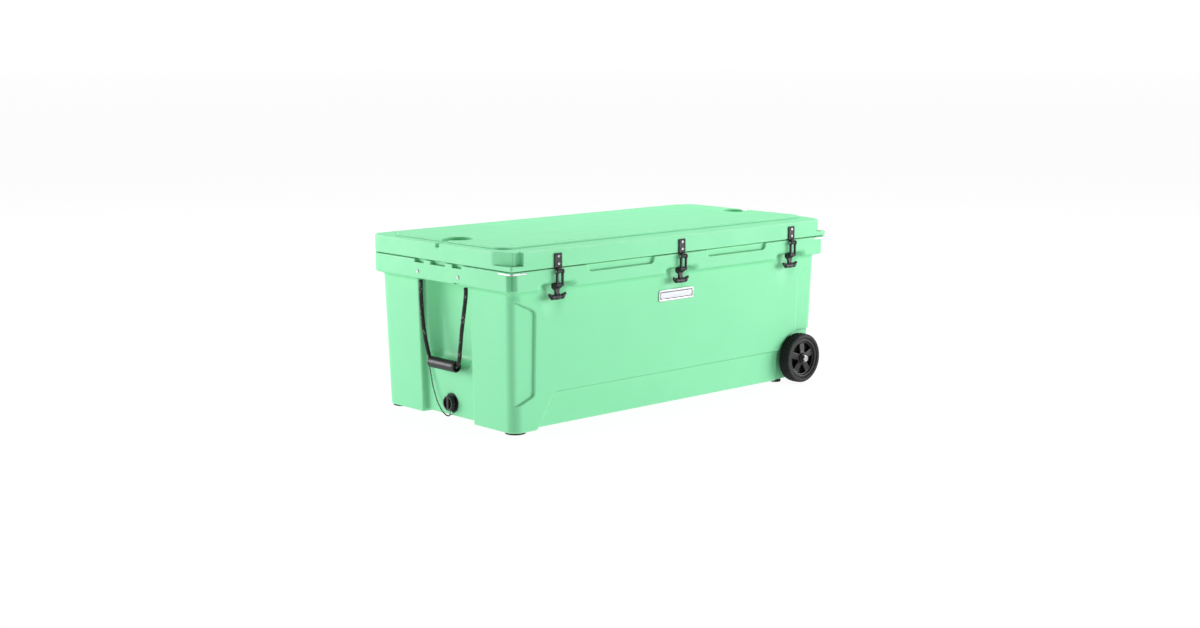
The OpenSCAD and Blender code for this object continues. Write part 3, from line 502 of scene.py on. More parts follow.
def finish_material(name, colour, rough, vary=0.06, vary_scale=9.0, grain=700.0, depth=0.00012,
                    rough_vary=0.06, metallic=0.0, stretch=None, edge_wear_and_highlight=0.0, painted_crease_shade=0.0, specular=0.5,
                    marks=None):
    """Principled material with colour drift, fine grain, paler convex edges that are partly edge wear and
    partly a painted highlight, and painted shade darkening the concave creases.

    marks is (attribute, colour): the colour shows where the attribute is 1."""
    material = bpy.data.materials.new(name)
    material.use_nodes = True
    tree, shader, make = node_tools(material)
    coords = make("ShaderNodeTexCoord")
    drift = noise(tree, make, coords, vary_scale, 4.0, stretch)
    dark = tuple(c * (1 - vary) for c in colour) + (1.0,)
    light = tuple(min(1.0, c * (1 + vary)) for c in colour) + (1.0,)
    tint = mix_colour(tree, make, remap(tree, make, drift, 0.3, 0.7, 0.0, 1.0), dark, light)
    # Convex edges (positive edge_turn) go paler, broken up by a scuff noise: partly edge wear, partly a
    # painted highlight along the edges.
    if edge_wear_and_highlight or painted_crease_shade:
        turn = make("ShaderNodeAttribute", attribute_name="edge_turn").outputs["Fac"]
        scuffs = noise(tree, make, coords, 60.0, 5.0)
        edge = remap(tree, make, turn, 0.25, 1.6, 0.0, edge_wear_and_highlight)
        fade = make("ShaderNodeMath", operation="MULTIPLY")
        tree.links.new(edge, fade.inputs[0])
        tree.links.new(remap(tree, make, scuffs, 0.3, 0.6, 0.35, 1.0), fade.inputs[1])
        pale = tuple(min(1.0, c * 0.6 + 0.4) for c in colour) + (1.0,)
        tint = mix_colour(tree, make, fade.outputs[0], tint, pale)
        # Concave creases (negative edge_turn) are mixed towards a darker colour: painted shade where light
        # does not reach into the creases.
        shade = remap(tree, make, turn, -1.6, -0.2, painted_crease_shade, 0.0)
        crease_shade_colour = tuple(c * 0.35 for c in colour) + (1.0,)
        tint = mix_colour(tree, make, shade, tint, crease_shade_colour)
    if marks:
        mark = make("ShaderNodeAttribute", attribute_name=marks[0]).outputs["Fac"]
        tint = mix_colour(tree, make, mark, tint, tuple(marks[1]) + (1.0,))
    tree.links.new(tint, shader.inputs["Base Color"])
    gloss = noise(tree, make, coords, vary_scale * 3.1, 5.0, stretch)
    tree.links.new(remap(tree, make, gloss, 0.3, 0.7, rough - rough_vary, rough + rough_vary),
                   shader.inputs["Roughness"])
    fine = noise(tree, make, coords, grain, 2.0, stretch)
    bump = make("ShaderNodeBump", Strength=0.6, Distance=depth)
    tree.links.new(fine, bump.inputs["Height"])
    tree.links.new(bump.outputs["Normal"], shader.inputs["Normal"])
    shader.inputs["Metallic"].default_value = metallic
    shader.inputs["Specular IOR Level"].default_value = specular
    return material


MINT_COLOUR = (0.215, 0.700, 0.365)
MATERIALS = {
    # shell_mint: the paler convex edges are edge wear and a painted highlight; the crease darkening is
    # painted shade.
    "shell_mint": finish_material("shell_mint", MINT_COLOUR, 0.5, vary=0.015, grain=420.0, depth=0.00008,
                                  edge_wear_and_highlight=0.30, painted_crease_shade=0.45, specular=0.35),
    "liner_mint": finish_material("liner_mint", (0.20, 0.66, 0.34), 0.5, vary=0.03, grain=420.0),
    "foam": finish_material("foam", (0.86, 0.79, 0.58), 0.9, vary=0.08, grain=900.0, depth=0.0006),
    "plate_steel": finish_material("plate_steel", (0.33, 0.33, 0.35), 0.34, vary=0.05, metallic=1.0,
                                   grain=300.0, stretch=(0.05, 0.05, 6.0), depth=0.00004, edge_wear_and_highlight=0.5),
    "nameplate": finish_material("nameplate", (0.46, 0.47, 0.49), 0.36, vary=0.06, metallic=0.85,
                                 grain=500.0, stretch=(0.04, 1.0, 5.0), depth=0.00004),
    "pin_steel": finish_material("pin_steel", (0.55, 0.55, 0.57), 0.28, metallic=1.0,
                                 stretch=(8.0, 1.0, 1.0), depth=0.00003),
    "axle_steel": finish_material("axle_steel", (0.30, 0.30, 0.32), 0.32, vary=0.1, metallic=1.0, edge_wear_and_highlight=0.5),
    "screw_steel": finish_material("screw_steel", (0.34, 0.34, 0.36), 0.3, metallic=1.0, vary=0.08),
    "chain_steel": finish_material("chain_steel", (0.05, 0.04, 0.04), 0.30, metallic=0.5, vary=0.05),
    "plastic_black": finish_material("plastic_black", (0.008, 0.008, 0.009), 0.48, vary=0.25, grain=600.0,
                                     depth=0.0002, edge_wear_and_highlight=0.06, specular=0.35),
    "wheel_plastic": finish_material("wheel_plastic", (0.006, 0.006, 0.007), 0.42, vary=0.25, grain=500.0,
                                     depth=0.0002, edge_wear_and_highlight=0.05, rough_vary=0.1, specular=0.3),
    "grip_rubber": finish_material("grip_rubber", (0.008, 0.008, 0.009), 0.42, vary=0.25, grain=800.0,
                                   depth=0.0002, edge_wear_and_highlight=0.06, specular=0.4),
    "rubber_black": finish_material("rubber_black", (0.009, 0.009, 0.010), 0.62, vary=0.3, grain=650.0,
                                    depth=0.0003, edge_wear_and_highlight=0.06, specular=0.35),
    "latch_rubber": finish_material("latch_rubber", (0.007, 0.006, 0.008), 0.46, vary=0.25, grain=700.0,
                                    depth=0.0002, edge_wear_and_highlight=0.06, specular=0.35),
    "rope": finish_material("rope", (0.011, 0.011, 0.012), 0.75, vary=0.4, vary_scale=120.0, grain=2600.0,
                            stretch=(1.0, 1.0, 0.3), depth=0.0004, marks=("fleck", (0.26, 0.26, 0.25))),
    "tyre": finish_material("tyre", (0.009, 0.009, 0.0095), 0.72, vary=0.35, vary_scale=30.0, grain=420.0,
                            depth=0.0005, edge_wear_and_highlight=0.10, rough_vary=0.1),
}
TICK = finish_material("ruler_mark", (0.12, 0.44, 0.22), 0.55, vary=0.04)
BORDER = finish_material("plate_border", (0.03, 0.03, 0.035), 0.45, vary=0.2)

# ------------------------------------------------------------ making pieces

COARSE = 1.0    # grid spacing is multiplied by this


def piece(name, field, lo, hi, step, slot, body, *nodes):
    """A moulded piece on an even grid, that stands for CAD nodes."""
    step *= COARSE
    axes = [np.arange(a - 1.5 * step, b + 2.5 * step, step) for a, b in zip(lo, hi)]
    obj = field_mesh(name, field, *axes, MATERIALS[slot], body, slot)
    if nodes:
        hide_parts(*nodes)
    return obj


def copied(obj, name, matrix, body, slot, *nodes):
    """A copy of a piece, moved, that stands for CAD nodes."""
    other = bpy.data.objects.new(name, obj.data)
    bpy.context.scene.collection.objects.link(other)
    other.matrix_world = matrix
    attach(other, body)
    if nodes:
        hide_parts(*nodes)
    return other


def shift(x):
    """Move along the object by x millimetres."""
    return Matrix.Translation((x * MM, 0.0, 0.0))


HALF_TURN = Matrix.Rotation(math.pi, 4, "Z")         # the near handle to the far one
TO_BACK_WHEEL = shift(2 * AXLE_X) @ HALF_TURN

# ------------------------------------------------------------ ropes and chain

ROPE_ROUTE = [
    (96, 366.5), (96, 350), (96, 330), (95, 310), (93, 290), (91, 270), (88, 250),
    (84, 230), (79, 210), (73, 191), (67, 174), (62, 163.5), (56.5, 156), (51, 152.8),
    (44, 152), (30, 152), (15, 152), (0, 152), (-15, 152), (-30, 152), (-44, 152),
    (-51, 152.8), (-56.5, 156), (-62, 163.5), (-65.5, 174), (-68, 191), (-71, 210),
    (-74, 230), (-77, 250), (-81, 270), (-85, 290), (-89, 310), (-93, 330), (-96, 350),
    (-96, 366.5),
]
CHAIN_ROUTE = [
    (-566, 86, 139.8), (-566, 85, 131), (-566, 82, 118), (-566, 78, 104), (-567, 73, 88),
    (-567, 67, 72), (-567, 60, 57), (-568, 51, 42), (-568, 40, 29), (-569, 28, 19),
    (-569, 16, 12.5), (-570, 5, 10.5), (-570, -2.5, 11.8), (-570, -6.5, 15),
]
ROPE_R = 5.5
ROPE_SIDES = 32
BRAID_DEPTH = 0.62
CHAIN_R = 2.1
BEAD_PITCH = 5.2
WIRE_R = 0.5


def smooth_route(points, step):
    """Even points along a smooth curve through points, and the curve's length."""
    p = np.array(points, float)
    t = np.concatenate([[0.0], np.cumsum(np.linalg.norm(np.diff(p, axis=0), axis=1))])
    slope = np.gradient(p, t, axis=0)
    fine = np.linspace(0.0, t[-1], 4000)
    k = np.clip(np.searchsorted(t, fine) - 1, 0, len(t) - 2)
    h = (t[k + 1] - t[k])[:, None]
    u = ((fine - t[k])[:, None]) / h
    curve = ((2 * u ** 3 - 3 * u ** 2 + 1) * p[k] + (u ** 3 - 2 * u ** 2 + u) * h * slope[k]
             + (3 * u ** 2 - 2 * u ** 3) * p[k + 1] + (u ** 3 - u ** 2) * h * slope[k + 1])
    run = np.concatenate([[0.0], np.cumsum(np.linalg.norm(np.diff(curve, axis=0), axis=1))])
    count = max(2, int(round(run[-1] / step)) + 1)
    even = np.linspace(0.0, run[-1], count)
    return np.stack([np.interp(even, run, curve[:, i]) for i in range(3)], 1), run[-1]


def tube(route, radius, sides, side_axis):
    """Points and quads of a tube with closed ends. radius(s, angle) is a field over length and turn."""
    tangent = np.gradient(route, axis=0)
    tangent /= np.linalg.norm(tangent, axis=1)[:, None]
    u = np.cross(side_axis, tangent)
    u /= np.linalg.norm(u, axis=1)[:, None]
    v = np.cross(tangent, u)
    angle = np.arange(sides) * 2 * np.pi / sides
    run = np.concatenate([[0.0], np.cumsum(np.linalg.norm(np.diff(route, axis=0), axis=1))])
    r = radius(run[:, None], angle[None, :])
    ring = route[:, None, :] + r[..., None] * (np.cos(angle)[None, :, None] * u[:, None, :]
                                              + np.sin(angle)[None, :, None] * v[:, None, :])
    n = len(route)
    i, k = np.meshgrid(np.arange(n - 1), np.arange(sides), indexing="ij")
    a, b = i * sides + k, i * sides + (k + 1) % sides
    faces = np.stack([a, b, b + sides, a + sides], -1).reshape(-1, 4).tolist()
    faces.append(list(range(sides))[::-1])
    faces.append([(n - 1) * sides + k for k in range(sides)])
    return ring.reshape(-1, 3), faces, run


def braid(run, angle, strands=8, pitch=16.0):
    """Height from 0 to 1 of a braided rope's surface, and the number of the strand's pick."""
    u = angle * strands / (2 * np.pi) + run / pitch * 2
    v = angle * strands / (2 * np.pi) - run / pitch * 2
    height = np.sqrt(np.abs(np.sin(np.pi * u) * np.sin(np.pi * v)))
    return height, np.floor(u) * 7 + np.floor(v) * 131


def rope_radius(run, angle):
    return ROPE_R - BRAID_DEPTH + BRAID_DEPTH * braid(run, angle)[0]


ALONG_X = np.array([1.0, 0.0, 0.0])
rope_points, rope_length = smooth_route([(-HANDLE_X, y, z) for y, z in ROPE_ROUTE], 1.4 * COARSE)
points, faces, run = tube(rope_points, rope_radius, ROPE_SIDES, ALONG_X)
rope_left = make_mesh("rope_left", points, faces, MATERIALS["rope"], "handle_left")

# a few picks of the braid are pale, chosen by a hash of their number
_, pick = braid(run[:, None], np.arange(ROPE_SIDES)[None, :] * 2 * np.pi / ROPE_SIDES)
chance = np.abs(np.sin(pick * 12.9898) * 43758.5453) % 1.0
fleck = rope_left.data.attributes.new("fleck", "FLOAT", "POINT")
fleck.data.foreach_set("value", np.where(chance > 0.92, 0.7, 0.0).ravel().astype(np.float32))
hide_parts("handle_rope_left")
rope_right = copied(rope_left, "rope_right", HALF_TURN, "handle_right", "rope", "handle_rope_right")


def grip_field(x, y, z):
    """Rubber tube with flared mouths and a groove near each end."""
    radial = np.hypot(x + HANDLE_X, z - GRIP_Z)
    solid = disc(radial, y, 15.0, -55.0, 55.0, 2.2)
    mouth = radial - 6.2 - np.maximum(np.abs(y) - 43.0, 0.0) * 0.42
    solid = cut(solid, mouth * 0.92, 1.0)
    groove = np.maximum(np.abs(np.abs(y) - 49.5) - 0.7, 14.2 - radial)
    return cut(solid, groove, 0.5)


grip_left = piece("grip_left", grip_field, (-599, -56, 136), (-567, 56, 168), 1.2, "grip_rubber",
                  "handle_left", "handle_grip_left")
grip_right = copied(grip_left, "grip_right", HALF_TURN, "handle_right", "grip_rubber", "handle_grip_right")


def bead_radius(run, _):
    """Radius of a string of balls on a thin wire."""
    phase = (run % BEAD_PITCH) - BEAD_PITCH / 2
    bead = np.sqrt(np.maximum(CHAIN_R ** 2 - phase ** 2, 0.0))
    return np.maximum(bead, WIRE_R)


chain_points, chain_length = smooth_route(CHAIN_ROUTE, 0.36)
points, faces, _ = tube(chain_points, bead_radius, 12, ALONG_X)
chain = make_mesh("drain_chain_beads", points, faces, MATERIALS["chain_steel"], None)
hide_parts("drain_chain")
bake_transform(chain)

# ------------------------------------------------------------ tub and lid


def both(*marks):
    """The marks and their mirror images."""
    return list(marks) + [(-b, -a, step) for a, b, step in marks]


def grid(lo, hi, coarse, marks):
    """Grid lines for a shell: finer inside each mark (start, end, spacing), where it has detail."""
    return spaced(lo, hi, coarse * COARSE, [(a, b, step * COARSE) for a, b, step in marks])


tub_x = grid(-606.0, 606.0, 12.0, both(
    (540.0, 603.0, 2.8), (498.0, 514.0, 2.8), (97.0, 116.0, 4.0), (326.0, 346.0, 4.0),
    (388.0, 400.0, 5.0)) + [
    (-506.0, -444.0, 5.5), (-494.0, -478.0, 3.0), (-438.0, -428.0, 3.6), (-60.0, 60.0, 7.0),
    (424.0, 436.0, 3.0), (418.0, 600.0, 4.0)])
tub_y = grid(-304.0, 304.0, 11.0, both(
    (250.0, 302.0, 2.8), (58.0, 114.0, 3.4), (26.0, 36.0, 3.6), (200.0, 226.0, 4.0)))
tub_z = grid(2.0, 428.0, 9.0, [
    (4.0, 16.0, 2.2), (70.0, 106.0, 3.0), (56.0, 64.0, 4.0), (110.0, 120.0, 4.0), (142.0, 170.0, 3.6),
    (314.0, 356.0, 4.0), (362.0, 428.0, 2.4)])
tub = field_mesh("tub", tub_field, tub_x, tub_y, tub_z, MATERIALS["shell_mint"], "root", "shell_mint")
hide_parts("tub_shell", "tub_liner")

lid_x = grid(-604.0, 604.0, 14.0, both((482.0, 603.0, 2.8), (360.0, 480.0, 9.0)))
lid_y = grid(-304.0, 304.0, 11.0, both(
    (226.0, 240.0, 2.8), (216.0, 224.0, 3.4), (276.0, 302.0, 2.4), (0.0, 48.0, 3.0)))
lid_z = grid(411.0, 484.0, 4.0, [(412.0, 432.0, 2.2), (436.0, 444.0, 2.4), (462.0, 484.0, 1.7)])
lid = field_mesh("lid", lid_field, lid_x, lid_y, lid_z, MATERIALS["shell_mint"], "lid", "shell_mint")
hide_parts("lid_shell", "lid_liner")


def knuckle_field(half, middle):
    """A hinge knuckle, half is half its length, with the pin's hole."""
    def field(x, y, z):
        radial = from_hinge(y, z)
        solid = disc(radial, x - middle, HINGE_R, -half, half, 1.4)
        return cut(solid, radial - 4.2, 0.4)
    return field


def knuckles(name, half, middles, body):
    """A hinge knuckle at each place along the rear edge."""
    first = middles[0]
    source = piece(name + "_0", knuckle_field(half, first), (first - half, 289, 413),
                   (first + half, 315, 439), 1.6, "shell_mint", body)
    for i, middle in enumerate(middles[1:], 1):
        copied(source, f"{name}_{i}", shift(middle - first), body, "shell_mint")


knuckles("lid_knuckle", 30.0, list(HINGE_X), "lid")
knuckles("tub_knuckle", 25.0, [x + s * 55.6 for x in HINGE_X for s in (-1, 1)], "root")

# ------------------------------------------------------------ latches


def strap_field(x, y, z):
    """Rubber T-latch: eyes, two bars round a window, hook under the rim, neck and bowed crossbar."""
    ax = np.abs(x)
    eye = disc(from_latch_pin(y, z), ax, 6.0, 6.4, 12.0, 1.2)
    bars = block(ax, y, z, (6.4, -311.0, 381.0), (12.0, -305.0, 418.0), 1.6)
    strap = fillet_min(eye, bars, 3.0)
    shelf = round_max(ax - 12.6, line_side(y, z, (-311.0, 380.0), (-298.0, 374.2)), 1.5)
    shelf = round_max(shelf, np.maximum(z - 386.0, np.maximum(-311.0 - y, y + 291.0)), 1.5)
    strap = fillet_min(strap, shelf, 2.0)
    hook = block(x, y, z, (-14.0, -300.0, 374.0), (14.0, -289.0, 385.2), 2.6)
    strap = fillet_min(strap, hook, 3.0)
    middle = -298.0 + 3.5 * np.clip((z - 350.0) / 26.0, 0.0, 1.0)
    half = 7.4 + 6.0 * np.clip((z - 364.0) / 14.0, 0.0, 1.0) ** 1.5
    neck = round_max(ax - half, np.abs(y - middle) - 3.4, 2.4)
    neck = np.maximum(neck, np.abs(z - 364.0) - 14.0)
    strap = fillet_min(strap, neck, 3.0)
    bar = rod(ax, y, z, (0.0, -298.0, 349.4), (17.0, -298.0, 351.2), 6.1, 5.6)
    bar = fillet_min(bar, rod(ax, y, z, (17.0, -298.0, 351.2), (26.6, -298.0, 357.6), 5.6, 3.9), 5.0)
    strap = fillet_min(strap, bar, 6.0)
    return cut(strap, from_latch_pin(y, z) - 2.1, 0.3)


def bracket_field(x, y, z):
    """Bracket on the lid: plate with a raised border, lug and the barrel that holds the pin."""
    plate = block(x, y, z, (-13.0, -303.2, 424.2), (13.0, -299.5, 464.0), 1.2)
    rim = np.maximum(plan(x, z - 444.1, 11.0, 17.9, 2.0), -plan(x, z - 444.1, 9.0, 15.9, 2.0))
    rim = round_max(rim, np.abs(y + 302.5) - 1.3, 0.5)
    plate = fillet_min(plate, rim, 0.6)
    lug = block(x, y, z, (-6.0, -309.0, 417.0), (6.0, -299.5, 427.0), 1.2)
    barrel = disc(from_latch_pin(y, z), x, 5.0, -6.0, 6.0, 0.8)
    return fillet_min(fillet_min(plate, lug, 1.5), barrel, 1.2)


strap = piece("latch_strap_middle_piece", strap_field, (-32, -315, 342), (32, -287, 425), 1.0,
              "latch_rubber", "latch_middle", "latch_strap_middle")
bracket = piece("latch_bracket_middle_piece", bracket_field, (-14, -314, 412), (14, -299, 465), 0.9,
                "plastic_black", "lid", "latch_bracket_middle")
for side, x in (("left", LATCH_X[0]), ("right", LATCH_X[2])):
    copied(strap, f"latch_strap_{side}_piece", shift(x), "latch_" + side, "latch_rubber",
           "latch_strap_" + side)
    copied(bracket, f"latch_bracket_{side}_piece", shift(x), "lid", "plastic_black",
           "latch_bracket_" + side)

# ------------------------------------------------------------ drain


def bushing_field(x, y, z):
    """Threaded drain bushing: flange outside the wall, sleeve through it."""
    radial = from_drain(y, z)
    flange = disc(radial, x, 24.0, -556.0, -552.0, 0.9)
    sleeve = disc(radial, x, 14.0, -553.0, -500.0, 0.8)
    rim = round_max(np.abs(radial - 21.6) - 1.3, np.abs(x + 556.0) - 1.0, 0.5)
    solid = fillet_min(fillet_min(flange, sleeve, 1.0), rim, 0.5)
    return cut(solid, radial - 9.5, 0.5)


def plug_field(x, y, z):
    """Drain plug: fluted head with a grip bar in a cup, and a threaded shank."""
    radial = from_drain(y, z)
    angle = np.arctan2(z - DRAIN_Z, y)
    head = disc(radial, x, 20.0, -573.9, -561.9, 1.4)
    flutes = 14.0
    turn = (angle / (2 * np.pi) * flutes) % 1.0 - 0.5
    flute = np.hypot(turn * 2 * np.pi * 20.6 / flutes, radial - 21.6) - 2.9
    head = cut(head, flute, 0.7)
    cup = round_max(radial - 15.2, x + 568.0, 1.0)
    grip_bar = round_max(np.abs(y) - 4.0 - 0.2 * np.abs(x + 573.0), radial - 17.0, 1.5)
    head = cut(head, cut(cup, grip_bar, 1.0), 0.8)
    shank = disc(radial, x, 9.0, -565.0, -509.0, 1.0)
    thread = 0.35 * np.sin(2 * np.pi * x / 3.0 + angle)
    return fillet_min(head, shank + np.where(x > -556.0, thread, 0.0), 0.6)


def tether_field(x, y, z):
    """Loose ring behind the plug's head, with a tab and an eye for the chain."""
    radial = from_drain(y, z)
    ring = disc(radial, x, 15.0, -560.4, -558.0, 0.5)
    tab = round_max(plan(y + 6.0, z - 27.0, 4.0, 9.0, 3.8), np.abs(x + 559.2) - 1.2, 0.5)
    ring = fillet_min(ring, tab, 1.0)
    return cut(cut(ring, radial - 9.4, 0.3), np.hypot(y + 6.0, z - 21.4) - 2.0, 0.3)


piece("drain_bushing_piece", bushing_field, (-559, -25, 20), (-499, 25, 70), 1.1, "plastic_black", "root",
      "drain_bushing")
piece("drain_plug_piece", plug_field, (-575, -21, 24), (-508, 21, 66), 0.9, "plastic_black", "plug",
      "drain_plug")
piece("tether_ring_piece", tether_field, (-561, -16, 17), (-557, 16, 61), 0.8, "plastic_black",
      "tether_ring", "plug_tether_ring")


def ring_field(x, y, z):
    """Split ring through the tether's eye and the chain's last bead."""
    around = np.hypot(x + 564.6, z - 19.4) - 5.6
    return np.hypot(around, y + 6.4 - 0.12 * (x + 564.6)) - 0.75


piece("chain_ring", ring_field, (-572, -9, 12), (-557, -4, 27), 0.5, "chain_steel", "tether_ring")

# ------------------------------------------------------------ feet, corner plates, nameplate, ruler


def feet_field(x, y, z):
    """Round rubber feet under the legs, each with a screw hole and a groove."""
    radial = np.hypot(x + 541.0, np.abs(y) - 241.0)
    foot = disc(radial, z, 27.0, 0.0, 5.2, 1.6)
    ring = round_max(np.abs(radial - 18.5) - 1.2, z - 1.2, 0.4)
    return cut(cut(foot, ring, 0.4), round_max(radial - 6.0, z - 3.0, 0.5), 0.5)


def rear_feet_field(x, y, z):
    radial = np.hypot(x - 458.0, np.abs(y) - 238.0)
    return disc(radial, z, 16.0, 0.0, BELLY_Z + 0.4, 2.0)


piece("feet_piece", feet_field, (-569, -269, 0), (-513, 269, 6), 1.6, "rubber_black", "root",
      "rubber_feet")
piece("rear_feet_piece", rear_feet_field, (441, -255, 0), (475, 255, 11), 1.6, "rubber_black", "root",
      "rear_feet")


def plate_field(sign):
    """L-shaped corner plate on the padlock corner at one end, sign is the end's."""
    def field(x, y, z):
        outer = plan(x, y, HALF_L + 0.5, HALF_W + 0.5, 6.5)
        ax = x * sign
        reach = np.maximum(HALF_L - 52.0 - ax, HALF_W - 52.0 + y)
        arms = np.maximum(np.minimum(HALF_L - 24.0 - ax, HALF_W - 24.0 + y), reach)
        solid = round_max(round_max(outer, arms, 1.0), np.abs(z - 420.0) - 2.0, 0.5)
        return cut(solid, lock_hole(ax, y), 0.4)
    return field


for side, sign in (("left", -1.0), ("right", 1.0)):
    x0, x1 = sorted((sign * 547.0, sign * 602.0))
    piece("corner_plate_" + side + "_piece", plate_field(sign), (x0, -302, 417), (x1, -247, 423), 1.0,
          "plate_steel", "root", "corner_plate_" + side)

PLATE_TILT = math.atan(SLOPE)
PLATE_Z = 311.0


def on_front(x, y, z):
    """Front wall coordinates: along the wall, up the wall, and out of it."""
    dy, dz = y + HALF_W - OVERHANG - DRAFT_IN, z - LEG_Z
    up = dz * math.cos(PLATE_TILT) - dy * math.sin(PLATE_TILT)
    out = -dy * math.cos(PLATE_TILT) - dz * math.sin(PLATE_TILT)
    return x, up - (PLATE_Z - LEG_Z), out


def nameplate_field(x, y, z):
    u, v, out = on_front(x, y, z)
    solid = round_max(plan(u, v, 67.0, 15.5, 4.0), np.abs(out - 0.9) - 1.5, 0.7)
    well = round_max(plan(u, v, 62.5, 11.0, 2.5), 2.0 - out, 0.4)
    return cut(solid, well, 0.4)


def border_field(x, y, z):
    u, v, out = on_front(x, y, z)
    ring = round_max(plan(u, v, 61.4, 9.9, 2.2), -plan(u, v, 59.3, 7.8, 1.4), 0.1)
    return round_max(ring, np.abs(out - 1.5) - 0.8, 0.1)


piece("nameplate_piece", nameplate_field, (-68, -294, 294), (68, -280, 328), 1.1, "nameplate", "root",
      "nameplate")
border = piece("nameplate_border", border_field, (-63, -293, 299), (63, -281, 323), 0.6, "plastic_black",
               "root")
border.data.materials[0] = BORDER

# ruler ticks moulded along the front edge of the lid's panel, every fifth one long
TICKS, TICK_X, TICK_Y, TICK_PITCH, TICK_HALF = 37, -531.0, -229.0, 10.0, 0.6
corners, faces = [], []
for i in range(TICKS):
    x = TICK_X + TICK_PITCH * i
    length = 14.0 if i % 5 == 0 else 8.0
    lo, hi = (x - TICK_HALF, TICK_Y, TOP_Z - 0.5), (x + TICK_HALF, TICK_Y + length, TOP_Z + 0.12)
    base = len(corners)
    corners += [(a, b, c) for c in (lo[2], hi[2]) for b in (lo[1], hi[1]) for a in (lo[0], hi[0])]
    faces += [[base + k for k in q] for q in ((0, 2, 3, 1), (4, 5, 7, 6), (0, 1, 5, 4), (1, 3, 7, 5),
                                              (3, 2, 6, 7), (2, 0, 4, 6))]
make_mesh("ruler_ticks", corners, faces, TICK, "lid", smooth=False)

# ------------------------------------------------------------ wheels

SPOKES = 5


def rim_field(x, y, z):
    """Wheel: barrel with rolled lips, five spokes, a hub and a closed back. The outside faces -Y."""
    u, v, w = x - AXLE_X, z - AXLE_Z, y - WHEEL_Y
    radial = np.hypot(u, v)
    barrel = round_max(np.abs(radial - 53.5) - 3.5, np.abs(w) - 15.5, 1.4)
    dish = -8.5 - 4.5 * np.clip(1.0 - radial / 50.0, 0.0, 1.0)
    angle = np.arctan2(v, u) - math.pi / 2
    sector = (angle / (2 * np.pi) * SPOKES + 0.5) % 1.0 - 0.5
    across = np.abs(np.sin(sector * 2 * np.pi / SPOKES)) * radial
    spoke = round_max(across - 9.0 - 0.06 * (radial - 18.0), np.maximum(dish - w, w - 5.0), 2.0)
    spoke = round_max(spoke, radial - 51.0, 0.5)
    ring = round_max(np.abs(radial - 48.5) - 3.0, np.maximum(-10.5 - w, w - 5.0), 1.5)
    hub = disc(radial, w, 15.0, -18.4, 18.4, 1.6)
    collar = disc(radial, w, 19.0, -12.0, 5.0, 1.5)
    back = disc(radial, w, 50.0, 3.0, 6.0, 0.5)
    centre = fillet_min(spoke, fillet_min(hub, collar, 1.5), 2.5)
    solid = fillet_min(fillet_min(barrel, ring, 2.0), centre, 3.0)
    solid = fillet_min(solid, back, 1.0)
    return cut(solid, radial - 9.0, 0.6)


def bush_field(x, y, z):
    radial = np.hypot(x - AXLE_X, z - AXLE_Z)
    return cut(disc(radial, y - WHEEL_Y, 8.9, -19.0, 19.0, 0.8), radial - 6.05, 0.4)


def nut_field(x, y, z):
    """Hexagon nut with chamfered corners."""
    u, v = x - AXLE_X, z - AXLE_Z
    radial = np.hypot(u, v)
    from_middle = np.abs(-y - 313.4)
    flats = np.maximum(np.maximum(np.abs(v), np.abs(v * 0.5 + u * 0.8660)), np.abs(v * 0.5 - u * 0.8660))
    nut = round_max(flats - 8.7, from_middle - 2.4, 0.5)
    nut = round_max(nut, (radial - 10.6 + from_middle) * 0.7, 0.4)
    return cut(nut, radial - 6.0, 0.5)


rim = piece("wheel_rim_front_piece", rim_field, (447, -309, 14), (563, -270, 130), 1.5, "wheel_plastic",
            "wheel_front", "wheel_rim_front")
copied(rim, "wheel_rim_back_piece", TO_BACK_WHEEL, "wheel_back", "wheel_plastic", "wheel_rim_back")
bush = piece("wheel_bush_front_piece", bush_field, (495, -309, 62), (515, -270, 82), 0.9, "plastic_black",
             "wheel_front", "wheel_bushes_front")
copied(bush, "wheel_bush_back_piece", TO_BACK_WHEEL, "wheel_back", "plastic_black", "wheel_bushes_back")
nut = piece("axle_nut_front", nut_field, (493, -317, 60), (517, -310, 84), 0.7, "axle_steel", "root",
            "axle_nuts")
copied(nut, "axle_nut_back", TO_BACK_WHEEL, "root", "axle_steel")

# tyre: a section turned round the axle, its tread cut into staggered blocks
BLOCKS = 48
BLOCK_STEPS = 8
ROWS = (-12.8, -6.4, 0.0, 6.4, 12.8)
PITCH = 6.4            # of the rows across the tread
EDGE = 16.0            # half the tread's width
TREAD_DEPTH = 3.0
section = [(57.2, -15.2), (58.6, -17.4), (61.0, -18.5), (64.5, -18.9), (67.0, -18.4), (69.4, -16.8)]
across = sorted({round(v, 2) for row in ROWS for v in (row - PITCH / 2 + 0.5, row - PITCH / 2 + 1.1,
                                                       row + PITCH / 2 - 1.1, row + PITCH / 2 - 0.5)})
turns = np.arange(BLOCKS * BLOCK_STEPS) / (BLOCKS * BLOCK_STEPS)


def tread_radius(w, turn):
    """Radius of the tread at a place across it and a turn round it."""
    crown = AXLE_Z - 0.0045 * w * w
    row = int((w + EDGE) // PITCH)
    phase = (turn * BLOCKS + 0.5 * (row % 2)) % 1.0
    side = min((w + EDGE) % PITCH, PITCH - (w + EDGE) % PITCH)
    in_gap = phase < 0.28 or side < 0.8
    return crown - (TREAD_DEPTH if in_gap else 0.0)


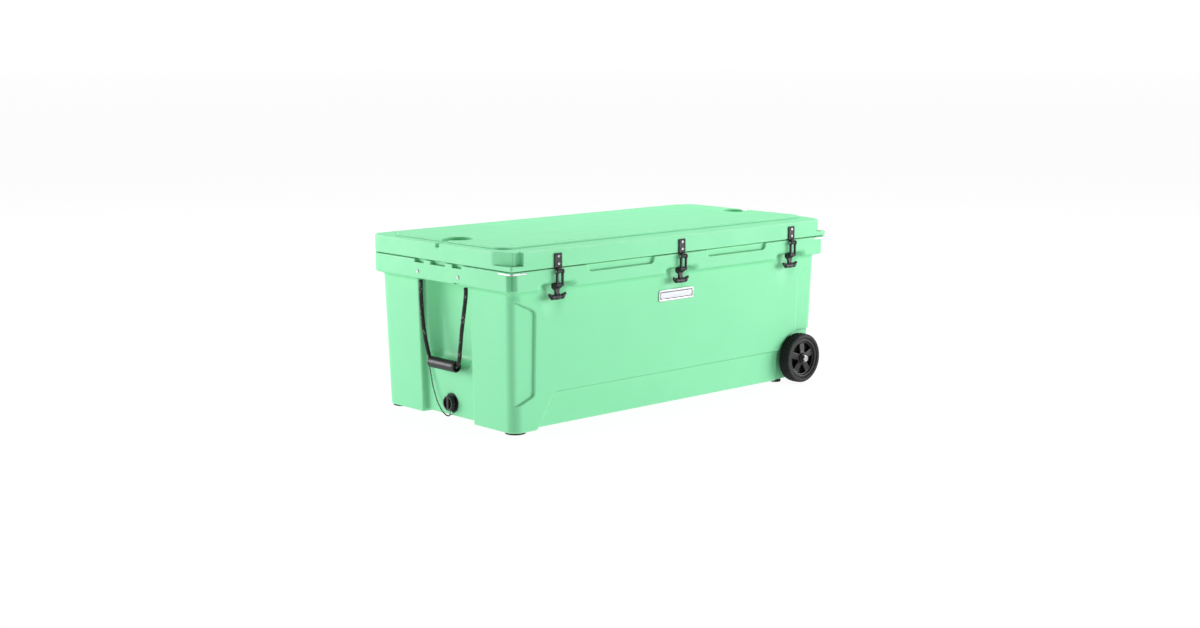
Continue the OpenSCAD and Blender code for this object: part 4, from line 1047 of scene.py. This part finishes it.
stations = section + [(None, w) for w in across] + [(r, -w) for r, w in reversed(section)]
points, faces = [], []
for r, w in stations:
    for turn in turns:
        radius = tread_radius(w, turn) if r is None else r
        points.append((AXLE_X + radius * math.cos(turn * 2 * math.pi), WHEEL_Y + w,
                       AXLE_Z + radius * math.sin(turn * 2 * math.pi)))
count = len(turns)
for i in range(len(stations)):
    j = (i + 1) % len(stations)
    for k in range(count):
        m = (k + 1) % count
        faces.append((i * count + k, j * count + k, j * count + m, i * count + m))
tyre = make_mesh("tyre_front_piece", points, faces, MATERIALS["tyre"], "wheel_front")
tyre.data.set_sharp_from_angle(angle=math.radians(38))
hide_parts("tyre_front")
copied(tyre, "tyre_back_piece", TO_BACK_WHEEL, "wheel_back", "tyre", "tyre_back")

# ------------------------------------------------------------ CAD nodes that stay

slots = {part["node"]: part["material_slot"] for part in frame["record"]["subparts"]}
for name, obj in frame["nodes"].items():
    obj.data.materials.clear()
    obj.data.materials.append(MATERIALS[slots[name]])

# ------------------------------------------------------------ floor and light


def pale_material(name, diffuse, glow):
    """Plain white that is lit by the lamps and glows a little itself."""
    material = bpy.data.materials.new(name)
    material.use_nodes = True
    shader = material.node_tree.nodes["Principled BSDF"]
    shader.inputs["Base Color"].default_value = (diffuse, diffuse, diffuse, 1.0)
    shader.inputs["Roughness"].default_value = 0.9
    shader.inputs["Specular IOR Level"].default_value = 0.1
    shader.inputs["Emission Color"].default_value = (1.0, 1.0, 1.0, 1.0)
    shader.inputs["Emission Strength"].default_value = glow
    return material


def backdrop(name, corners, quads, material):
    """A surface of the stage, its corners in metres."""
    mesh = bpy.data.meshes.new(name)
    mesh.from_pydata(corners, [], quads)
    mesh.materials.append(material)
    obj = bpy.data.objects.new(name, mesh)
    bpy.context.scene.collection.objects.link(obj)


SPAN = 60.0            # metres, half the floor
RING = 48
RING_R = 58.0
backdrop("floor", [(-SPAN, -SPAN, 0), (SPAN, -SPAN, 0), (SPAN, SPAN, 0), (-SPAN, SPAN, 0)],
         [(0, 1, 2, 3)], pale_material("floor", 0.10, 0.93))
ring = [(RING_R * math.cos(2 * math.pi * k / RING), RING_R * math.sin(2 * math.pi * k / RING), z)
        for z in (-0.5, 7.0) for k in range(RING)]
backdrop("backdrop", ring, [(k, (k + 1) % RING, RING + (k + 1) % RING, RING + k) for k in range(RING)],
         pale_material("backdrop", 0.9, 1.0))

world = bpy.data.worlds.new("studio")
bpy.context.scene.world = world
world.use_nodes = True
sky = world.node_tree.nodes["Background"]
sky.inputs["Color"].default_value = (1.0, 1.0, 1.0, 1.0)
sky.inputs["Strength"].default_value = 0.25


def panel_light(name, position, width, height, radiance):
    """A rectangular soft box that looks at the object."""
    lamp = bpy.data.lights.new(name, "AREA")
    lamp.shape = "RECTANGLE"
    lamp.size = width
    lamp.size_y = height
    lamp.energy = radiance * math.pi * width * height
    obj = bpy.data.objects.new(name, lamp)
    bpy.context.scene.collection.objects.link(obj)
    aim(obj, position, (0.0, 0.0, 0.25))


panel_light("left", (-3.6, 4.4, 1.2), 3.0, 2.4, 10.6)
panel_light("right", (4.6, -4.0, 1.2), 3.6, 2.6, 9.7)
panel_light("top", (0.9, 0.9, 3.8), 2.4, 2.4, 8.0)

bpy.context.scene.view_settings.view_transform = "Standard"
bpy.context.scene.view_settings.look = "None"

bpy.context.view_layer.update()
